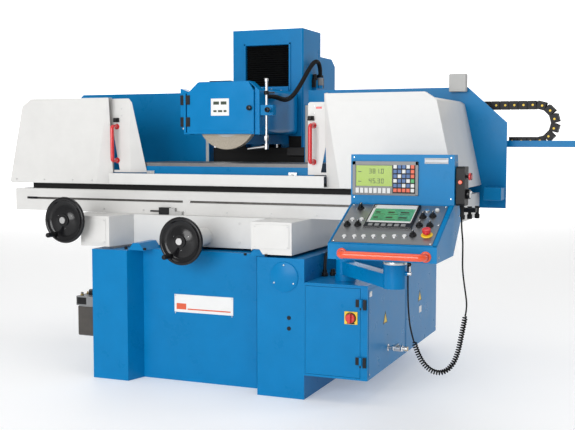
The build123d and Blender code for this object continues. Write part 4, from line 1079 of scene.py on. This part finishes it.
# upper face: readout
face = hy0 + 295 - 4
bezel = Piece("readout_bezel", grey, "panel", 1.5)
outer = (hx0 + 8, hx0 + 299, 969, 1112)
for bx0, bx1, bz0, bz1 in (
    (outer[0], outer[1], 1096, 1112), (outer[0], outer[1], 969, 972), (outer[0], hx0 + 23, 969, 1112),
    (hx0 + 185, hx0 + 187, 969, 1112), (hx0 + 287, outer[1], 969, 1112),
):
    bezel.block(bx0, bx1, face - 3, face + 0.4, bz0, bz1)
bezel.done()
Piece("readout_lcd", lcd, "panel", 0.2).block(
    hx0 + 24, hx0 + 184, face - 0.4, face + 2.2, 1006, 1094,
).done()
digits = Piece("readout_digits", ink, "panel", 0)
strokes = {"0": "abcdef", "3": "abcdg", "4": "bcfg", "5": "acdfg", "8": "abcdefg", "1": "bc"}
for row, shown in enumerate(("381.0", "45.30")):
    z = 1060 - row * 42
    x = hx0 + 82
    for mark in shown:
        if mark == ".":
            digits.block(x - 3, x, face - 1, face - 0.3, z, z + 3)
            x += 3
            continue
        for part in strokes[mark]:
            w, h, t = 11, 20, 2.2
            rect = {
                "a": (0, w, h - t, h), "d": (0, w, 0, t), "g": (0, w, h / 2 - t / 2, h / 2 + t / 2),
                "b": (
                    w - t, w, h / 2, h,
                ), "c": (w - t, w, 0, h / 2), "f": (0, t, h / 2, h), "e": (0, t, 0, h / 2),
            }[part]
            digits.block(x + rect[0], x + rect[1], face - 1, face - 0.3, z + rect[2], z + rect[3])
        x += 17
    digits.block(hx0 + 34, hx0 + 48, face - 1, face - 0.3, z + 6, z + 9)
digits.done()
row_keys = Piece("readout_keys", key_white, "panel")
for i in range(8):
    x = hx0 + 23 + i * 20
    row_keys.block(x, x + 15, face - 4, face + 0.2, 976, 998)
row_keys.done()
Piece("keypad_base", black, "panel").block(
    hx0 + 188, hx0 + 286, face - 0.8, face + 0.4, 976, 1103,
).done()
sets = {
    "keypad_blue": key_blue, "keypad_white": key_white, "keypad_red": key_red, "keypad_green": key_green,
}
made = {name: Piece(name, finish, "panel", 0.7, slot="grey_plastic") for name, finish in sets.items()}
for row in range(6):
    for col in range(5):
        x = hx0 + 191 + col * 19
        z = 1082 - row * 20
        kind = "keypad_blue" if (row + col) % 3 else "keypad_white"
        if col == 4:
            kind = (
                "keypad_red", "keypad_red", "keypad_red", "keypad_green", "keypad_white", "keypad_white",
            )[row]
        if row == 5 and col < 4:
            kind = "keypad_red"
        made[kind].block(x, x + 15, face - 3.2, face - 0.6, z, z + 15)
for piece in made.values():
    piece.done()
Piece("panel_badge", silver_label, "panel", 0.6).block(
    hx1 - 127, hx1 - 26, face + 2.4, face + 4.3, 1103, 1127,
).done()
badge_rim = Piece("panel_badge_rim", ink, "panel", 0)
for bx0, bx1, bz0, bz1 in ((hx1 - 124, hx1 - 29, 1122, 1124), (hx1 - 124, hx1 - 29, 1106, 1108)):
    badge_rim.block(bx0, bx1, face + 1.8, face + 2.5, bz0, bz1)
badge_rim.done()
side_screws = Piece("panel_screws", chrome, "panel", 0)
for y, z in ((hy0 + 30, 742), (hy0 + 300, 742), (hy0 + 330, 1110), (hy0 + 392, 880)):
    side_screws.screw((hx1, y, z), RIGHT, 4)
    side_screws.screw((hx0, y, z), LEFT, 4)
for x in (hx0 + 14, hx1 - 14):
    for z in (956, 1128):
        side_screws.screw((x, hy0 + 295, z), FRONT, 3)
side_screws.done()
clips = Piece("handlebar_feet", orange, "panel")
for x in (POST[0] - 165, POST[0] + 182):
    clips.turned([(15.4, 0), (22, 0), (22, 3), (20, 5), (15.4, 6)], (x, hy0, 745), FRONT, 36)
clips.done()

# pendant
nx0, _, ny0, ny1 = span("pendant")[:4]
left, right = nx0 + 4, nx0 + 40
mid_y = (ny0 + ny1) / 2
Piece("pendant_seam", gloss_black, "panel", 0.5).block(
    (left + right) / 2 - 1, (left + right) / 2 + 1, ny0 + 4, ny1 - 4, 927, 1092.6,
).turned([(20.4, 0), (21, 2), (21, 13), (19, 15.6), (15, 16)], (right, mid_y, 976), RIGHT, 40).done()
Piece("pendant_dial", chrome, "panel", 0.4).turned(
    [(0, 17.4), (15, 17.2), (16, 16), (16, 15)], (right, mid_y, 976), RIGHT, 40,
).turned([(0, 21.6), (4, 21.6), (4.6, 20), (4.6, 16)], (right, mid_y + 8, 984), RIGHT, 20).done()
Piece("pendant_stop", red, "panel", 0).turned(
    [(6.4, 10), (15.4, 11), (15.6, 14), (15, 19), (11, 22), (0, 22.3)], (right, mid_y, 1050), RIGHT, 36,
).done(60)
Piece("pendant_knob", orange, "panel", 0).turned(
    [(9, 0.4), (9, -8), (7.5, -11), (0, -11)], ((left + right) / 2, ny0, 1027), BACK, 28,
).done()
relief = Piece("pendant_strain_relief", rubber, "panel", 0)
profile = [(9.5, 928.4), (9.5, 920), (8.6, 918)]
for i in range(6):
    z = 915 - i * 8
    r = 8.2 - i * 0.6
    profile += [(r, z), (r, z - 4), (r - 1.4, z - 4.6), (r - 1.4, z - 7.4)]
profile += [(3.6, 866)]
relief.turned(profile, (POST[0] + 248, POST[1] + 142, 0), UP, 28)
relief.done()
Piece("panel_cable_gland", grey, "panel", 0.5).turned(
    [(3.6, 704), (9, 704), (11, 707), (11, 716), (13, 717), (13, 720.2), (3.6, 720.2)],
    (POST[0] + 36, POST[1] + 78, 0), UP, 28,
).done()

# ------ floor and light
floor_data = bmesh.new()
bmesh.ops.create_grid(floor_data, x_segments=2, y_segments=2, size=40)
floor_mesh = bpy.data.meshes.new("floor")
floor_data.to_mesh(floor_mesh)
floor = linked("floor", floor_mesh)
floor.location.z = FLOOR_LEVEL
floor_mesh.materials.append(floor_finish)
wall_mesh = bpy.data.meshes.new("backdrop")
backdrop_distance, backdrop_half_width, backdrop_height = 15, 6.5, 7.0
centre = eye + look * backdrop_distance
side = Vector((look.y, -look.x, 0)).normalized() * backdrop_half_width
corners = [centre - side, centre + side]
rows = [[Vector((c.x, c.y, z)) for c in corners] for z in (FLOOR_LEVEL, backdrop_height)]
wall_mesh.from_pydata([*rows[0], *reversed(rows[1])], [], [(0, 1, 2, 3)])
wall = linked("backdrop", wall_mesh)
wall_mesh.materials.append(backdrop_finish)
world = bpy.data.worlds.new("studio")
bpy.context.scene.world = world
world.use_nodes = True
world.node_tree.nodes["Background"].inputs["Color"].default_value = (1, 1, 1, 1)
world.node_tree.nodes["Background"].inputs["Strength"].default_value = 0.5


def lamp(name, place, target, width, height, power):
    data = bpy.data.lights.new(name, "AREA")
    data.shape = "RECTANGLE"
    data.size = width
    data.size_y = height
    data.energy = power
    made = linked(name, data)
    made.location = place
    made.rotation_euler = (Vector(target) - Vector(place)).to_track_quat("-Z", "Y").to_euler()


lamp("key", (-0.4, -8.0, 2.3), (0, -0.6, 0.7), 4.6, 3.4, 340)
lamp("top", (0.4, -1.2, 5.2), (0, -0.4, 1.0), 4.0, 3.0, 60)
lamp("rim", (5.0, 2.0, 3.2), (0.4, 0, 1.2), 1.6, 2.6, 40)
